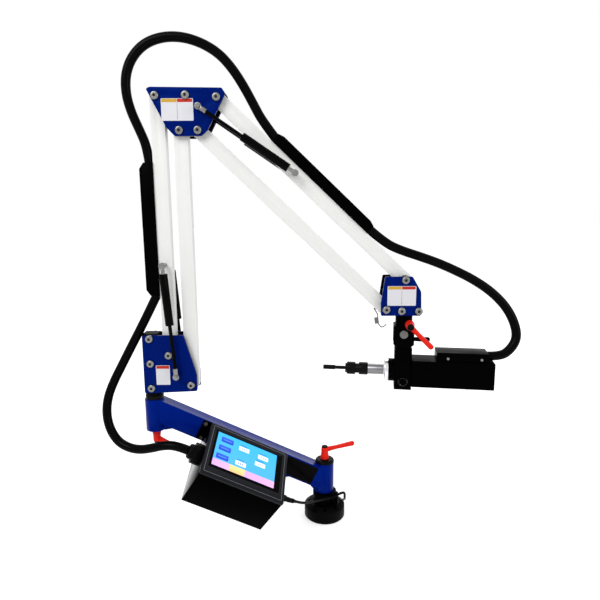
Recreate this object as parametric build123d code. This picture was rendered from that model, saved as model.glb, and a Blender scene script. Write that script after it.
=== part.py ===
from build123d import *

import os
from math import atan2, cos, degrees, hypot, pi, radians, sin, sqrt, tan

# Sizes in millimetres. Origin: centre of the base underside, on the bench. +Z is up, +X is the tool side
# and -Y is the side of the control box. Both parallelogram arms lie in one upright plane.

# ---- base ----
base_d = 100.0
base_foot_r = 47.0
base_rim_z = (3.0, 29.0)
base_shoulder = (38.0, 38.0)
base_hole_d = 9.0
base_hole_circle = 80.0
base_hole_count = 4
base_hole_start = 0.0
collar_d = 58.0
collar_h = 27.7
post_d = 25.0
post_foot = 2.0
post_over = 4.0
peg_d = 11.0
peg_h = 38.0
peg_depth = 12.0
peg_radius = 40.0
peg_angle = -48.0

# ---- lower swinging arm ----
arm_length = 400.0
arm_yaw = 10.1
tube_slope = 28.0
tube_h = 50.0
tube_w = 40.0
tube_wall = 3.0
tube_seat_base = 33.3
tube_seat_column = 53.0
boss_d = 45.0
base_boss_h = 76.0
column_boss_h = 75.0
bush_wall = 3.0
bush_h = 20.0
cap_d = 46.5
cap_h = 8.0
rib_w = 24.0
rib_reach = 20.0

# ---- fits and clearances ----
running = 0.05
seat_gap = 0.3
open_pivot = 0.5
cut_reach = 200.0

# ---- parallelogram arms ----
bar_length = 550.0
bar_w = 30.0
bar_d = 20.0
bar_wall = 2.0
lower_lean = 0.38
upper_drop = 43.55
lower_pivot = (42.4, 96.7)
lower_link = (47.7, -68.8)
upper_pivot = (126.4, -3.6)
upper_link = (-40.3, -65.0)
plate_t = 5.0
plate_gap = 35.0
bolt_d = 10.0
bolt_head_d = 17.5
bolt_head_h = 5.5
bolt_socket = 6.0
bush_d = 16.0
spacer_d = 20.0
middle_spacer = (63.0, 0.5)
middle_outline = (
    (-17.7, 13.3), (-10.9, 17.2), (138.0, 14.6), (145.3, 3.5),
    (107.0, -68.3), (92.5, -80.5), (37.7, -80.3), (21.5, -63.3),
)
lower_outline = (
    (-57.7, 43.0), (-55.7, 45.0), (34.3, 45.4), (60.9, -43.7),
    (61.3, -79.5), (59.4, -83.0), (-54.3, -88.4), (-57.7, -85.4),
)
end_plate_drop = 78.6
end_outline = (
    (-44.0, 7.2), (15.0, 7.7), (34.3, -25.3), (36.4, -74.3),
    (34.4, -end_plate_drop), (-51.7, -end_plate_drop), (-52.3, -51.5),
)
column_bolt_side = 1.0
column_bolt_offsets = (37.5, -19.0, -76.0)
end_bolt_offsets = ((-7.0, -68.0), (30.0, -68.5))

# ---- column ----
column_shaft_d = 25.0
column_shaft_h = 95.0
column_shaft_seat = 5.0
ring_d = 40.6
ring_h = 9.2
spigot_h = 8.0
column_block_w = 33.0
column_block_h = 136.0

# ---- gas springs ----
spring_y = 36.0
spring_stud_d = 8.0
spring_stud_over = 2.5
spring_collar_d = 11.0
spring_eye_d = 14.0
spring_eye_t = 9.0
spring_tube_d = 18.0
spring_tube_wall = 2.0
spring_tube_length = 113.0
spring_tube_start = 17.0
spring_gland = 12.0
spring_rod_d = 8.0
spring_piston_t = 6.0
spring_rod_inside = 50.0
lower_spring_plate = (18.4, -45.2)
lower_spring_along = 200.9
upper_spring_plate = (91.3, -24.3)
upper_spring_along = 222.4

# ---- cable trunks on the arms: start and end along the bar, rise over its edge, lift of the ends ----
lower_trunk_span = (133.0, 418.0)
lower_trunk_rise = 29.0
upper_trunk_span = (141.0, 420.0)
upper_trunk_rise = 24.0
trunk_end_lift = 20.0
trunk_chamfer = 13.0
trunk_depth = 27.0
trunk_wall = 2.0

# ---- control box, in the slope of the lower arm ----
box_along = 224.0
box_tilt = 65.0
box_gap = 1.0
bezel_w = 194.0
bezel_h = 139.0
bezel_t = 6.0
bezel_above = 69.8
box_inset = 1.5
box_depth = 101.0
sheet_t = 2.0
window_w = 166.0
window_h = 101.0
window_rise = 3.0
panel_recess = 1.0
panel_t = 4.0
module_w = 150.0
module_h = 90.0
module_t = 30.0
drive_size = (130.0, 85.0, 52.0)
bracket_t = 3.0
bracket_start = 112.0
bracket_w = 150.0
bracket_leg = 48.0
bracket_foot = 3.5
bracket_screws = ((119.5, 17.5), (123.5, -16.5))
screw_d = 4.0
screw_head_d = 8.5
hose_gland_depth = 44.6
hose_gland_rise = 7.8
hose_nut_d = 46.0
hose_nut_h = 17.0
hose_neck_d = 32.0
hose_neck_h = 11.0
power_gland_depth = 13.5
power_gland_drop = 42.0
power_nut_d = 14.0
power_nut_h = 11.0
power_neck_d = 11.0
power_neck_h = 9.0

# ---- clamp levers ----
lever_hub_d = 21.0
lever_hub_h = 30.0
lever_root_d = 12.5
lever_tip_d = 11.0
lever_stud_d = 8.0
lever_stud_h = 20.0
lever_cap_d = 15.0
lever_cap_h = 3.0

# ---- head ----
head_offset = 2.7
head_yaw = -8.0
mount_block = (-24.0, 32.0, 22.0)
swivel_d = 16.0
neck_d = 37.4
neck_h = 22.4
block_w = 45.0
block_depth = 44.0
block_h = 51.0
tongue_t = 23.6
tongue_w = 24.0
slot_t = 24.0
slot_end_r = 12.3
cheek_r = 32.5
shoulder_drop = 33.0
shoulder_gap = 1.0
spindle_drop = 87.5
plate_foot = 39.5
plate_w = 38.0
spindle_bore_d = 26.0
face_ring_drop = 21.0
face_ring_d = (15.0, 21.0)
face_ring_depth = 1.5
pivot_head = (18.0, 4.0)
pivot_nut = (16.0, 6.0)
flange_d = 51.0
flange_front = -31.6
ring_nut_d = 50.0
ring_nut_front = -42.7
spindle_d = 24.0
chuck_back = -78.0
chuck_front = -129.0
chuck_d = 28.7
chuck_core_d = 22.0
chuck_flange = 20.0
sleeve_travel = 8.0
tap_tip = -180.0
tap_shank_d = 8.0
tap_grip = 25.0
tap_flutes = 3
tap_flute_d = 5.0
tap_thread_d = 10.5
tap_thread_length = 27.0
motor_size = 60.0
motor_end = 195.0
motor_drop = 0.5
motor_chamfer = 2.0
terminal_screws = (96.0, 167.0)
terminal_screw_rise = 7.0
terminal_screw_d = 6.0
terminal_screw_h = 1.5
socket_lead = 28.0
terminal_span = (72.0, 182.0)
terminal_h = 20.0
terminal_w = 50.0
head_lever_place = (12.0, 3.4)
head_lever_angle = -44.0
head_lug_d = 16.0
head_lever_reach = (62.0, 0.0)
tilt_lever_reach = (58.0, 0.0)
base_lever_reach = (68.0, 17.0)
column_lever_reach = (62.0, 30.0)
head_stud_h = 12.0
tilt_lever_place = (0.0, -45.0)
tilt_stud_h = 8.0

# ---- hook under the end of the second upper bar ----
hook_along = 535.0
hook_wire_d = 2.6
hook_eye_d = 4.0
hook_eye_w = 8.0
hook_bends = ((0.0, 0.0), (7.0, -12.0), (9.0, -34.0), (17.0, -43.0), (27.0, -35.0))
hook_bend_r = 5.0
hook_tag = (9.0, 4.0, 14.0)
hook_tag_place = (5.0, -26.0)
hook_tag_lean = 8.0

# ---- hose and power cord ----
hose_d = 20.0
cord_d = 6.0
coil_mean_r = (37.0, 21.0)
coil_turns = 2.0
coil_start = 90.0
coil_layer = 6.6
coil_centre = (-208.0, 118.0)
plug_body = (30.0, 38.0, 18.0)
plug_pin_d = 4.8
plug_pin_h = 19.0
plug_pin_gap = 19.0
plug_relief = (12.0, 14.0)
coil_lead = 30.0
coil_tail = 32.0

# ---- levels and places that follow from the sizes above ----
column_x = -arm_length * cos(radians(arm_yaw))
arm_y = -arm_length * sin(radians(arm_yaw))
collar_top = base_shoulder[1] + collar_h
base_boss_z = collar_top + seat_gap
base_boss_top = base_boss_z + base_boss_h
tube_base_z = base_boss_z + tube_seat_base
tube_column_z = tube_base_z + arm_length * tan(radians(tube_slope))
column_boss_z = tube_column_z - tube_seat_column
column_boss_top = column_boss_z + column_boss_h
block_z = column_boss_top + seat_gap + ring_h


def stepped(point, step):
    return (point[0] + step[0], point[1] + step[1])


def polar(point, angle, distance):
    """The point at a distance from another in the plane of the arms, at an angle above +X."""
    return (point[0] + distance * cos(radians(angle)), point[1] + distance * sin(radians(angle)))


pivot_b = (column_x + lower_pivot[0], block_z + lower_pivot[1])
pivot_d = stepped(pivot_b, lower_link)
pivot_a = polar(pivot_b, 90.0 + lower_lean, bar_length)
pivot_c = polar(pivot_d, 90.0 + lower_lean, bar_length)
pivot_e = stepped(pivot_a, upper_pivot)
pivot_f = stepped(pivot_e, upper_link)
pivot_g = polar(pivot_e, -upper_drop, bar_length)
pivot_h = polar(pivot_f, -upper_drop, bar_length)

head_x = pivot_g[0] + head_offset
mount_z = pivot_g[1] - end_plate_drop
neck_top = mount_z - seat_gap
block_top = neck_top - neck_h
block_bottom = block_top - block_h
tilt_z = block_bottom + shoulder_drop - shoulder_gap
spindle_z = tilt_z - spindle_drop
head_bottom = spindle_z - plate_foot
head_place = Location((head_x, arm_y, 0), (0, 0, head_yaw))


# ---------------------------------------------------------------- helpers
def arm_plane(y, origin=(0, 0)):
    """A plane across Y whose local x is X, local y is Z, and whose normal points to -Y."""
    return Plane(origin=(origin[0], y, origin[1]), x_dir=(1, 0, 0), z_dir=(0, -1, 0))


def outline_slab(points, origin, y_back, depth):
    face = make_face(Polyline(*[stepped(origin, p) for p in points], close=True))
    return extrude(arm_plane(y_back) * face, depth)


def rod(start, end, diameter):
    a, b = Vector(*start), Vector(*end)
    return Solid.make_cylinder(diameter / 2, (b - a).length, Plane(origin=a, z_dir=(b - a).normalized()))


def taper(start, end, d_start, d_end):
    a, b = Vector(*start), Vector(*end)
    plane = Plane(origin=a, z_dir=(b - a).normalized())
    return Solid.make_cone(d_start / 2, d_end / 2, (b - a).length, plane)


def pin(point, diameter, y_front, y_back):
    """A round bar across the arms, at a point of their plane, between two depths from it."""
    return rod((point[0], arm_y + y_back, point[1]), (point[0], arm_y + y_front, point[1]), diameter)


def upright(x, y, low, high, diameter):
    return rod((x, y, low), (x, y, high), diameter)


def save(name, *pieces):
    solids = [s for piece in pieces for s in piece.solids()]
    export_step(Compound(children=solids) if len(solids) > 1 else solids[0], f"parts/{name}.step")


def tube_along(route, diameter, name):
    """A round tube of straight runs and tangent arcs, each arc as large as its two runs allow."""
    points = [Vector(*p) for p in route]
    radii = []
    for before, here, after in zip(points, points[1:], points[2:]):
        turn = radians((here - before).get_angle(after - here))
        radii.append(0.45 * min((here - before).length, (after - here).length) / tan(turn / 2))
    path = FilletPolyline(*points, radius=radii)
    start = Plane(origin=points[0], z_dir=(points[1] - points[0]).normalized())
    tube = sweep(start * Circle(diameter / 2), path=path)
    full = pi * diameter ** 2 / 4 * path.length
    print(name, "length", round(path.length, 1), "volume ratio", round(tube.volume / full, 4))
    print(name, "radii", [round(r) for r in radii])
    return tube


def lever(base, up, arm_dir, arm_tip, stud):
    """A clamp lever: hub, slanting handle with a thicker end, end cap, and the stud below the hub."""
    origin, axis = Vector(*base), Vector(*up)
    foot = Plane(origin=origin, z_dir=axis)
    hub = Solid.make_cone(lever_hub_d / 2, lever_hub_d / 2 - 2, lever_hub_h, foot)
    root = origin + axis * (lever_hub_h - 7.5)
    tip = root + Vector(*arm_dir) * arm_tip[0] + axis * arm_tip[1]
    handle = taper(root, tip, lever_root_d, lever_tip_d)
    end = Pos(*tip) * Sphere(lever_tip_d / 2)
    screw = Solid.make_cylinder(lever_stud_d / 2, stud, Plane(origin=origin, z_dir=axis * -1))
    top = Plane(origin=origin + axis * lever_hub_h, z_dir=axis)
    cap = Solid.make_cone(lever_cap_d / 2, lever_cap_d / 2 - 2, lever_cap_h, top)
    return hub + handle + end + screw, cap


def button_head(point, y_face, side):
    """The head of a button screw on a plate face, with its hexagon socket; side is -1 in front."""
    plane = Plane(origin=(point[0], arm_y + y_face, point[1]), x_dir=(1, 0, 0), z_dir=(0, side, 0))
    head = plane.location * Pos(0, 0, bolt_head_h / 2) * Cylinder(bolt_head_d / 2, bolt_head_h)
    rim = head.faces().sort_by(Axis.Y)[0 if side < 0 else -1].edges()
    head = fillet(rim, bolt_head_h * 0.6)
    socket = extrude(Plane(plane.origin + Vector(0, side * bolt_head_h, 0), z_dir=(0, -side, 0))
                     * RegularPolygon(bolt_socket / 2, 6, major_radius=False), 2.5)
    return head - socket


def plate_bolt(point, spacer=None):
    """A bolt through both plates, with spacers beside the bar, or one spacer where there is no bar."""
    outer = plate_gap / 2 + plate_t
    shank = pin(point, bolt_d, -outer, outer)
    pieces = [shank + button_head(point, -outer, -1) + button_head(point, outer, 1)]
    inner = plate_gap / 2
    stops = {"bar": [(-inner, -bar_d / 2 - seat_gap), (bar_d / 2 + seat_gap, inner)], "plain": [(-inner, inner)]}
    for front, back in stops.get(spacer, []):
        pieces.append(pin(point, spacer_d, front, back) - pin(point, bolt_d, front, back))
    return pieces


def plates(outline, origin, holes):
    """A front and a back plate with the same outline and holes."""
    result = []
    for back in (-plate_gap / 2, plate_gap / 2 + plate_t):
        plate = outline_slab(outline, origin, arm_y + back, plate_t)
        for hole in holes:
            plate -= pin(hole, bolt_d, back - plate_t - 1, back + 1)
        result.append(plate)
    return result


def bar_plane(start, end):
    x, z = end[0] - start[0], end[1] - start[1]
    return Plane(origin=(start[0], arm_y, start[1]), x_dir=(x, 0, z), z_dir=(0, -1, 0))


def link_bar(start, end):
    """A rectangular tube with rounded ends and a cross bush at each pivot, from start to end."""
    tube = extrude(SlotCenterToCenter(bar_length, bar_w), bar_d / 2, both=True)
    tube -= Box(bar_length + 2 * bar_w, bar_w - 2 * bar_wall, bar_d - 2 * bar_wall)
    for x in (-bar_length / 2, bar_length / 2):
        tube += Pos(x, 0, 0) * Cylinder(bush_d / 2, bar_d)
        tube -= Pos(x, 0, 0) * Cylinder(bolt_d / 2 + running, bar_d + 2)
    return bar_plane(start, end).location * Pos(bar_length / 2, 0, 0) * tube


def bar_studs(start, end, along):
    """The two studs that stand out of an arm's bar for the gas springs, front and back."""
    point = polar(start, bar_angle(start, end), along)
    inner_end = bar_d / 2
    outer_end = spring_y - spring_eye_t / 2 - open_pivot
    return [pin(point, spring_stud_d, -outer_end, -inner_end), pin(point, spring_stud_d, inner_end, outer_end)]


def bar_angle(start, end):
    return degrees(atan2(end[1] - start[1], end[0] - start[0]))


def trunk(start, end, side, span, rise):
    """A sheet cable trunk on the outer edge of a bar; side is +1 above the bar and -1 below it."""
    low, high = span
    edge = bar_w / 2
    outline = [
        (low, edge), (low, edge + trunk_end_lift), (low + trunk_chamfer, edge + rise),
        (high - trunk_chamfer, edge + rise), (high, edge + trunk_end_lift), (high, edge),
    ]
    face = make_face(Polyline(*[(x, side * y) for x, y in outline], close=True))
    body = extrude(face, trunk_depth / 2, both=True)
    inner = Pos((low + high) / 2, side * (edge + rise / 2 - trunk_wall / 2), 0)
    room = Box(high - low - 2 * trunk_chamfer, rise - trunk_wall, trunk_depth - 2 * trunk_wall)
    place = bar_plane(start, end).location
    return place * (body - inner * room), place * body


# ---------------------------------------------------------------- base
def base():
    rim_low, rim_high = base_rim_z
    profile = Polyline(
        (0, 0), (base_foot_r, 0), (base_d / 2, rim_low), (base_d / 2, rim_high), base_shoulder,
        (0, base_shoulder[1]), close=True,
    )
    flange = revolve(Plane.XZ * make_face(profile), Axis.Z)
    flange -= upright(0, 0, -1, base_shoulder[1] + 1, post_d)
    for hole in PolarLocations(base_hole_circle / 2, base_hole_count, start_angle=base_hole_start):
        flange -= hole * Pos(0, 0, base_shoulder[1] / 2) * Cylinder(base_hole_d / 2, base_shoulder[1] + 2)
    peg_x = peg_radius * cos(radians(peg_angle))
    peg_y = peg_radius * sin(radians(peg_angle))
    peg_foot = base_shoulder[1] - peg_depth
    flange -= upright(peg_x, peg_y, peg_foot, base_shoulder[1] + 1, peg_d)
    save("base_flange", flange)
    save("stop_peg", upright(peg_x, peg_y, peg_foot, base_shoulder[1] + peg_h, peg_d))
    save("base_collar", upright(0, 0, base_shoulder[1], collar_top, collar_d)
         - upright(0, 0, base_shoulder[1] - 1, collar_top + 1, post_d))
    post = upright(0, 0, post_foot, base_boss_top + post_over, post_d)
    post -= upright(0, 0, base_boss_top - lever_stud_h, base_boss_top + 5, lever_stud_d + 2 * running)
    save("base_post", post)
    lever_base = (0, 0, base_boss_top + cap_h + seat_gap)
    save("base_lever", *lever(lever_base, (0, 0, 1), (1, 0, 0), base_lever_reach, lever_stud_h))


# ---------------------------------------------------------------- lower swinging arm
def tube_frame():
    """Local x runs down the arm from the column, local y is up across it, local z is its front."""
    slope, yaw = radians(tube_slope), radians(arm_yaw)
    down = Vector(cos(slope) * cos(yaw), cos(slope) * sin(yaw), -sin(slope))
    front = Vector(sin(yaw), -cos(yaw), 0)
    return Plane(origin=(column_x, arm_y, tube_column_z), x_dir=down, z_dir=front)


def boss(x, y, low, height):
    body = upright(x, y, low, low + height, boss_d)
    return body - upright(x, y, low - 1, low + height + 1, post_d + 2 * bush_wall)


def swing_arm():
    frame = tube_frame()
    slope = radians(tube_slope)
    run = arm_length / cos(slope)
    outer = Pos(run / 2, 0, 0) * Box(run, tube_h, tube_w)
    inner = Pos(run / 2, 0, 0) * Box(run + 2, tube_h - 2 * tube_wall, tube_w - 2 * tube_wall)
    tube = frame.location * (outer - inner)
    level = Location((column_x, arm_y, 0), (0, 0, arm_yaw))
    half = tube_h / 2 / cos(slope)
    reach = boss_d / 2 + rib_reach
    under = tube_base_z + tan(slope) * reach - half
    base_rib = Polyline((arm_length, base_boss_z), (arm_length - boss_d / 2, base_boss_z),
                        (arm_length - reach, under), (arm_length, under), close=True)
    column_under = tube_column_z - tan(slope) * reach - half
    column_rib = Polyline((0, column_boss_z), (boss_d / 2, column_boss_z), (reach, column_under),
                          (0, column_under + reach * tan(slope)), close=True)
    for outline in (base_rib, column_rib):
        rib = level * extrude(Plane.XZ * make_face(outline), rib_w / 2, both=True)
        tube += rib - frame.location * outer
    for x, y in ((0, 0), (column_x, arm_y)):
        tube -= upright(x, y, 0, column_boss_top + tube_h, boss_d)
    save("swing_tube", tube.solids().sort_by(SortBy.VOLUME)[-1])
    save("base_boss", boss(0, 0, base_boss_z, base_boss_h))
    save("column_boss", boss(column_x, arm_y, column_boss_z, column_boss_h))
    bushes = []
    for x, y, low, height in ((0, 0, base_boss_z, base_boss_h), (column_x, arm_y, column_boss_z, column_boss_h)):
        for foot in (low, low + height - bush_h):
            sleeve = upright(x, y, foot, foot + bush_h, post_d + 2 * bush_wall)
            bushes.append(sleeve - upright(x, y, foot - 1, foot + bush_h + 1, post_d + 2 * running))
    save("arm_bushes", *bushes)
    cap = upright(0, 0, base_boss_top, base_boss_top + cap_h, cap_d)
    cap = fillet(cap.edges().sort_by(Axis.Z)[-1], cap_h * 0.7)
    cap -= upright(0, 0, base_boss_top - 1, base_boss_top + post_over + seat_gap, post_d + 1)
    cap -= upright(0, 0, base_boss_top, base_boss_top + cap_h + 1, lever_stud_d + 1)
    save("boss_cap", cap)


# ---------------------------------------------------------------- control box
def box_frame():
    """Local x runs along the slope, local y is up the screen and local z points out of it."""
    frame = tube_frame()
    tilt = radians(box_tilt)
    out = frame.z_dir * cos(tilt) + frame.y_dir * sin(tilt)
    up = frame.y_dir * cos(tilt) - frame.z_dir * sin(tilt)
    corner = frame.origin + frame.x_dir * box_along - frame.y_dir * (tube_h / 2) + frame.z_dir * (tube_w / 2)
    centre = corner - up * (box_gap + bezel_h / 2) + out * bezel_above
    return Plane(origin=centre, x_dir=frame.x_dir, z_dir=out)


def control_box():
    frame = box_frame()
    width, height = bezel_w - 2 * box_inset, bezel_h - 2 * box_inset
    place = frame.location
    shell = Pos(0, 0, -bezel_t - box_depth / 2) * Box(width, height, box_depth)
    room = Pos(0, 0, -bezel_t - (box_depth - sheet_t) / 2)
    shell -= room * Box(width - 2 * sheet_t, height - 2 * sheet_t, box_depth - sheet_t)
    save("box_shell", place * shell)
    bezel = extrude(RectangleRounded(bezel_w, bezel_h, 4), -bezel_t)
    window = Pos(0, window_rise, -bezel_t / 2)
    bezel -= window * Box(window_w, window_h, bezel_t + 1)
    bezel = chamfer(bezel.faces().sort_by(Axis.Z)[-1].outer_wire().edges(), 1.5)
    save("screen_bezel", place * bezel)
    glass_z = -panel_recess - panel_t / 2
    panel = Pos(0, window_rise, glass_z) * Box(window_w - 0.2, window_h - 0.2, panel_t)
    panel += Pos(0, window_rise, -panel_recess - panel_t - module_t / 2) * Box(module_w, module_h, module_t)
    save("screen_panel", place * panel)
    drive = Pos(0, 0, -bezel_t - box_depth + sheet_t + drive_size[2] / 2) * Box(*drive_size)
    save("servo_drive", place * drive)
    left = place * Plane(origin=(-width / 2, hose_gland_rise, -hose_gland_depth), z_dir=(-1, 0, 0)).location
    nut = Pos(0, 0, hose_nut_h / 2) * Cylinder(hose_nut_d / 2, hose_nut_h)
    for flute in PolarLocations(hose_nut_d / 2 + 1, 12):
        nut -= flute * Pos(0, 0, hose_nut_h / 2) * Cylinder(3.2, hose_nut_h + 1)
    neck = Pos(0, 0, hose_nut_h + hose_neck_h / 2) * Cylinder(hose_neck_d / 2, hose_neck_h)
    neck = fillet(neck.edges().sort_by(Axis.Z)[-1], 4)
    gland = left * (nut + neck)
    save("hose_gland", gland)
    right = place * Plane(origin=(width / 2, -power_gland_drop, -power_gland_depth), z_dir=(1, 0, 0)).location
    collar = extrude(RegularPolygon(power_nut_d / 2, 6), power_nut_h)
    tail = Pos(0, 0, power_nut_h + power_neck_h / 2) * Cylinder(power_neck_d / 2, power_neck_h)
    small_gland = right * (collar + fillet(tail.edges().sort_by(Axis.Z)[-1], 2))
    save("power_gland", small_gland)
    hose_exit = (left * Pos(0, 0, hose_nut_h + hose_neck_h)).position
    cord_exit = (right * Pos(0, 0, power_nut_h + power_neck_h)).position
    print("hose exit", hose_exit, "cord exit", cord_exit)
    return (hose_exit, gland), (cord_exit, small_gland)


def box_mount():
    """A folded bracket: one leg on the front of the tube, the other up the back of the box."""
    frame = tube_frame()
    tilt = radians(box_tilt)
    lean = radians(90 - box_tilt)
    front = tube_w / 2
    back = box_gap + box_inset

    def on_box(height, off):
        """A point on the back of the box, and off towards the tube."""
        z = front + sin(tilt) * (back - off) + cos(tilt) * height
        y = -tube_h / 2 - cos(tilt) * (back - off) + sin(tilt) * height
        return (z, y)

    fold = on_box(0, bracket_t)[1] + (front + bracket_t - on_box(0, bracket_t)[0]) / tan(lean)
    low, high = -tube_h / 2 + 3, tube_h / 2 - 1
    leg = [(front, low), (front, high), (front + bracket_t, high), (front + bracket_t, low)]
    fold_leg = [(front + bracket_t, fold), on_box(bracket_leg, bracket_t), on_box(bracket_leg, 0),
                on_box(bracket_foot, 0), (front + bracket_t, low)]
    box_end = box_along - bezel_w / 2 + box_inset
    bracket_end = bracket_start + bracket_w
    pieces = []
    for outline, start in ((leg, bracket_start), (fold_leg, box_end)):
        side = Plane(origin=frame.origin + frame.x_dir * start, x_dir=frame.z_dir, z_dir=frame.x_dir * -1)
        pieces.append(extrude(side * make_face(Polyline(*outline, close=True)), start - bracket_end))
    bracket = pieces[0] + pieces[1]
    screws = []
    for x, y in bracket_screws:
        place = frame.location * Pos(x, y, front + bracket_t)
        hole = place * Pos(0, 0, -4) * Cylinder(screw_d / 2, 8.2)
        bracket -= hole
        head = Pos(0, 0, 1.5) * Cylinder(screw_head_d / 2, 3)
        screws.append(place * (head + Pos(0, 0, -bracket_t / 2) * Cylinder(screw_d / 2, bracket_t)))
    save("box_bracket", bracket)
    save("box_screws", *screws)


# ---------------------------------------------------------------- column and its plates
def column():
    shaft_top = block_z + spigot_h + column_shaft_seat
    shaft = upright(column_x, arm_y, shaft_top - column_shaft_h, shaft_top, column_shaft_d)
    hole_top = column_boss_z + lever_stud_h
    shaft -= upright(column_x, arm_y, shaft_top - column_shaft_h - 1, hole_top, lever_stud_d + 2 * running)
    save("column_shaft", shaft)
    ring_z = column_boss_top + seat_gap
    ring = upright(column_x, arm_y, ring_z, block_z, ring_d)
    save("thrust_bearing", ring - upright(column_x, arm_y, ring_z - 1, block_z + 1, column_shaft_d))
    block = upright(column_x, arm_y, block_z, block_z + spigot_h, ring_d - 1)
    block += Pos(column_x, arm_y, block_z + spigot_h + column_block_h / 2) * Box(
        column_block_w, plate_gap, column_block_h)
    block -= upright(column_x, arm_y, block_z - 1, shaft_top, column_shaft_d)
    bolts = [(column_x + column_bolt_side, pivot_b[1] + z) for z in column_bolt_offsets]
    for point in bolts:
        block -= pin(point, bolt_d, -plate_gap, plate_gap)
    save("column_block", block)
    save("lower_plates", *plates(lower_outline, pivot_b, [pivot_b, pivot_d, *bolts, lower_spring()[0]]))
    pieces = [s for point in (pivot_b, pivot_d) for s in plate_bolt(point, "bar")]
    pieces += [s for point in bolts for s in plate_bolt(point)]
    save("lower_bolts", *pieces, *spring_studs(lower_spring()[0]))
    hub_z = column_boss_z - seat_gap
    hub = (column_x, arm_y, hub_z)
    save("column_lever", *lever(hub, (0, 0, -1), (1, 0, 0), column_lever_reach, lever_stud_h - 1))


# ---------------------------------------------------------------- arms
def arms():
    save("lower_bar_outer", link_bar(pivot_b, pivot_a), *bar_studs(pivot_b, pivot_a, lower_spring_along))
    save("lower_bar_inner", link_bar(pivot_d, pivot_c))
    save("upper_bar_outer", link_bar(pivot_e, pivot_g), *bar_studs(pivot_e, pivot_g, upper_spring_along))
    save("lower_trunk", trunk(pivot_b, pivot_a, 1, lower_trunk_span, lower_trunk_rise)[0])
    save("upper_trunk", trunk(pivot_e, pivot_g, 1, upper_trunk_span, upper_trunk_rise)[0])
    save("upper_bar_inner", link_bar(pivot_f, pivot_h))
    spacer = stepped(pivot_a, middle_spacer)
    stud = stepped(pivot_a, upper_spring_plate)
    holes = [pivot_a, pivot_c, pivot_e, pivot_f, spacer, stud]
    save("middle_plates", *plates(middle_outline, pivot_a, holes))
    pieces = [s for p in (pivot_a, pivot_c, pivot_e, pivot_f) for s in plate_bolt(p, "bar")]
    save("middle_bolts", *pieces, *plate_bolt(spacer, "plain"), *spring_studs(stud))
    bolts = [stepped(pivot_g, offset) for offset in end_bolt_offsets]
    save("end_plates", *plates(end_outline, pivot_g, [pivot_g, pivot_h, *bolts]))
    pieces = [s for p in (pivot_g, pivot_h) for s in plate_bolt(p, "bar")]
    pieces += [s for p in bolts for s in plate_bolt(p)]
    save("end_bolts", *pieces)


# ---------------------------------------------------------------- gas springs
def lower_spring():
    """Plate end and bar end of the lower gas springs."""
    return stepped(pivot_b, lower_spring_plate), polar(pivot_b, 90 + lower_lean, lower_spring_along)


def upper_spring():
    return stepped(pivot_a, upper_spring_plate), polar(pivot_e, -upper_drop, upper_spring_along)


def springs(name, plate_point, bar_point):
    """Two gas springs, in front of and behind the arm, from a stud on the plates to a stud on the bar."""
    length = hypot(bar_point[0] - plate_point[0], bar_point[1] - plate_point[1])
    tube_far = length - spring_tube_start
    tube_near = tube_far - spring_tube_length
    rods, tubes = [], []
    for side in (-1, 1):
        y = arm_y + side * spring_y
        turn = Plane(origin=(plate_point[0], y, plate_point[1]), z_dir=(0, side, 0),
                     x_dir=(bar_point[0] - plate_point[0], 0, bar_point[1] - plate_point[1]))

        def along(start, end, diameter):
            middle = Pos((start + end) / 2, 0, 0) * Rot(0, 90, 0)
            return middle * Cylinder(diameter / 2, end - start)

        eye = Cylinder(spring_eye_d / 2, spring_eye_t)
        shaft = along(0, tube_near + spring_rod_inside, spring_rod_d) + eye
        piston_at = tube_near + spring_rod_inside
        shaft += along(piston_at - spring_piston_t, piston_at, spring_tube_d - 2 * spring_tube_wall - 0.2)
        shaft += along(spring_eye_d / 2 - 1, spring_eye_d / 2 + 12, spring_eye_d - 3)
        shaft -= Cylinder(spring_stud_d / 2 + running, spring_eye_t + 2)
        rods.append(turn.location * shaft)
        tube = along(tube_near, tube_far, spring_tube_d)
        tube -= along(tube_near - 1, tube_near + spring_gland + 1, spring_rod_d + 2 * running)
        tube -= along(tube_near + spring_gland, tube_far - 8, spring_tube_d - 2 * spring_tube_wall)
        tube += along(tube_far - 1, length - spring_eye_d / 2 + 2, spring_rod_d)
        tube += Pos(length, 0, 0) * Cylinder(spring_eye_d / 2, spring_eye_t)
        tubes.append(turn.location * tube)
    save(f"{name}_spring_rods", *rods)
    save(f"{name}_spring_cylinders", *tubes)


def spring_studs(point):
    """Shouldered studs in both plates, for the rod ends of a pair of gas springs."""
    inner, face = plate_gap / 2, plate_gap / 2 + plate_t
    shoulder = spring_y - spring_eye_t / 2 - seat_gap
    end = spring_y + spring_eye_t / 2 + spring_stud_over
    pieces = []
    for side in (-1, 1):
        root = pin(point, bolt_d, *sorted((side * inner, side * face)))
        collar = pin(point, spring_collar_d, *sorted((side * face, side * shoulder)))
        pieces.append(root + collar + pin(point, spring_stud_d, *sorted((side * face, side * end))))
    return pieces


# ---------------------------------------------------------------- head
def along_head(start, end, diameter, z):
    return rod((start, 0, z), (end, 0, z), diameter)


def across_head(x, z, front, back, diameter):
    return rod((x, back, z), (x, front, z), diameter)


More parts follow.
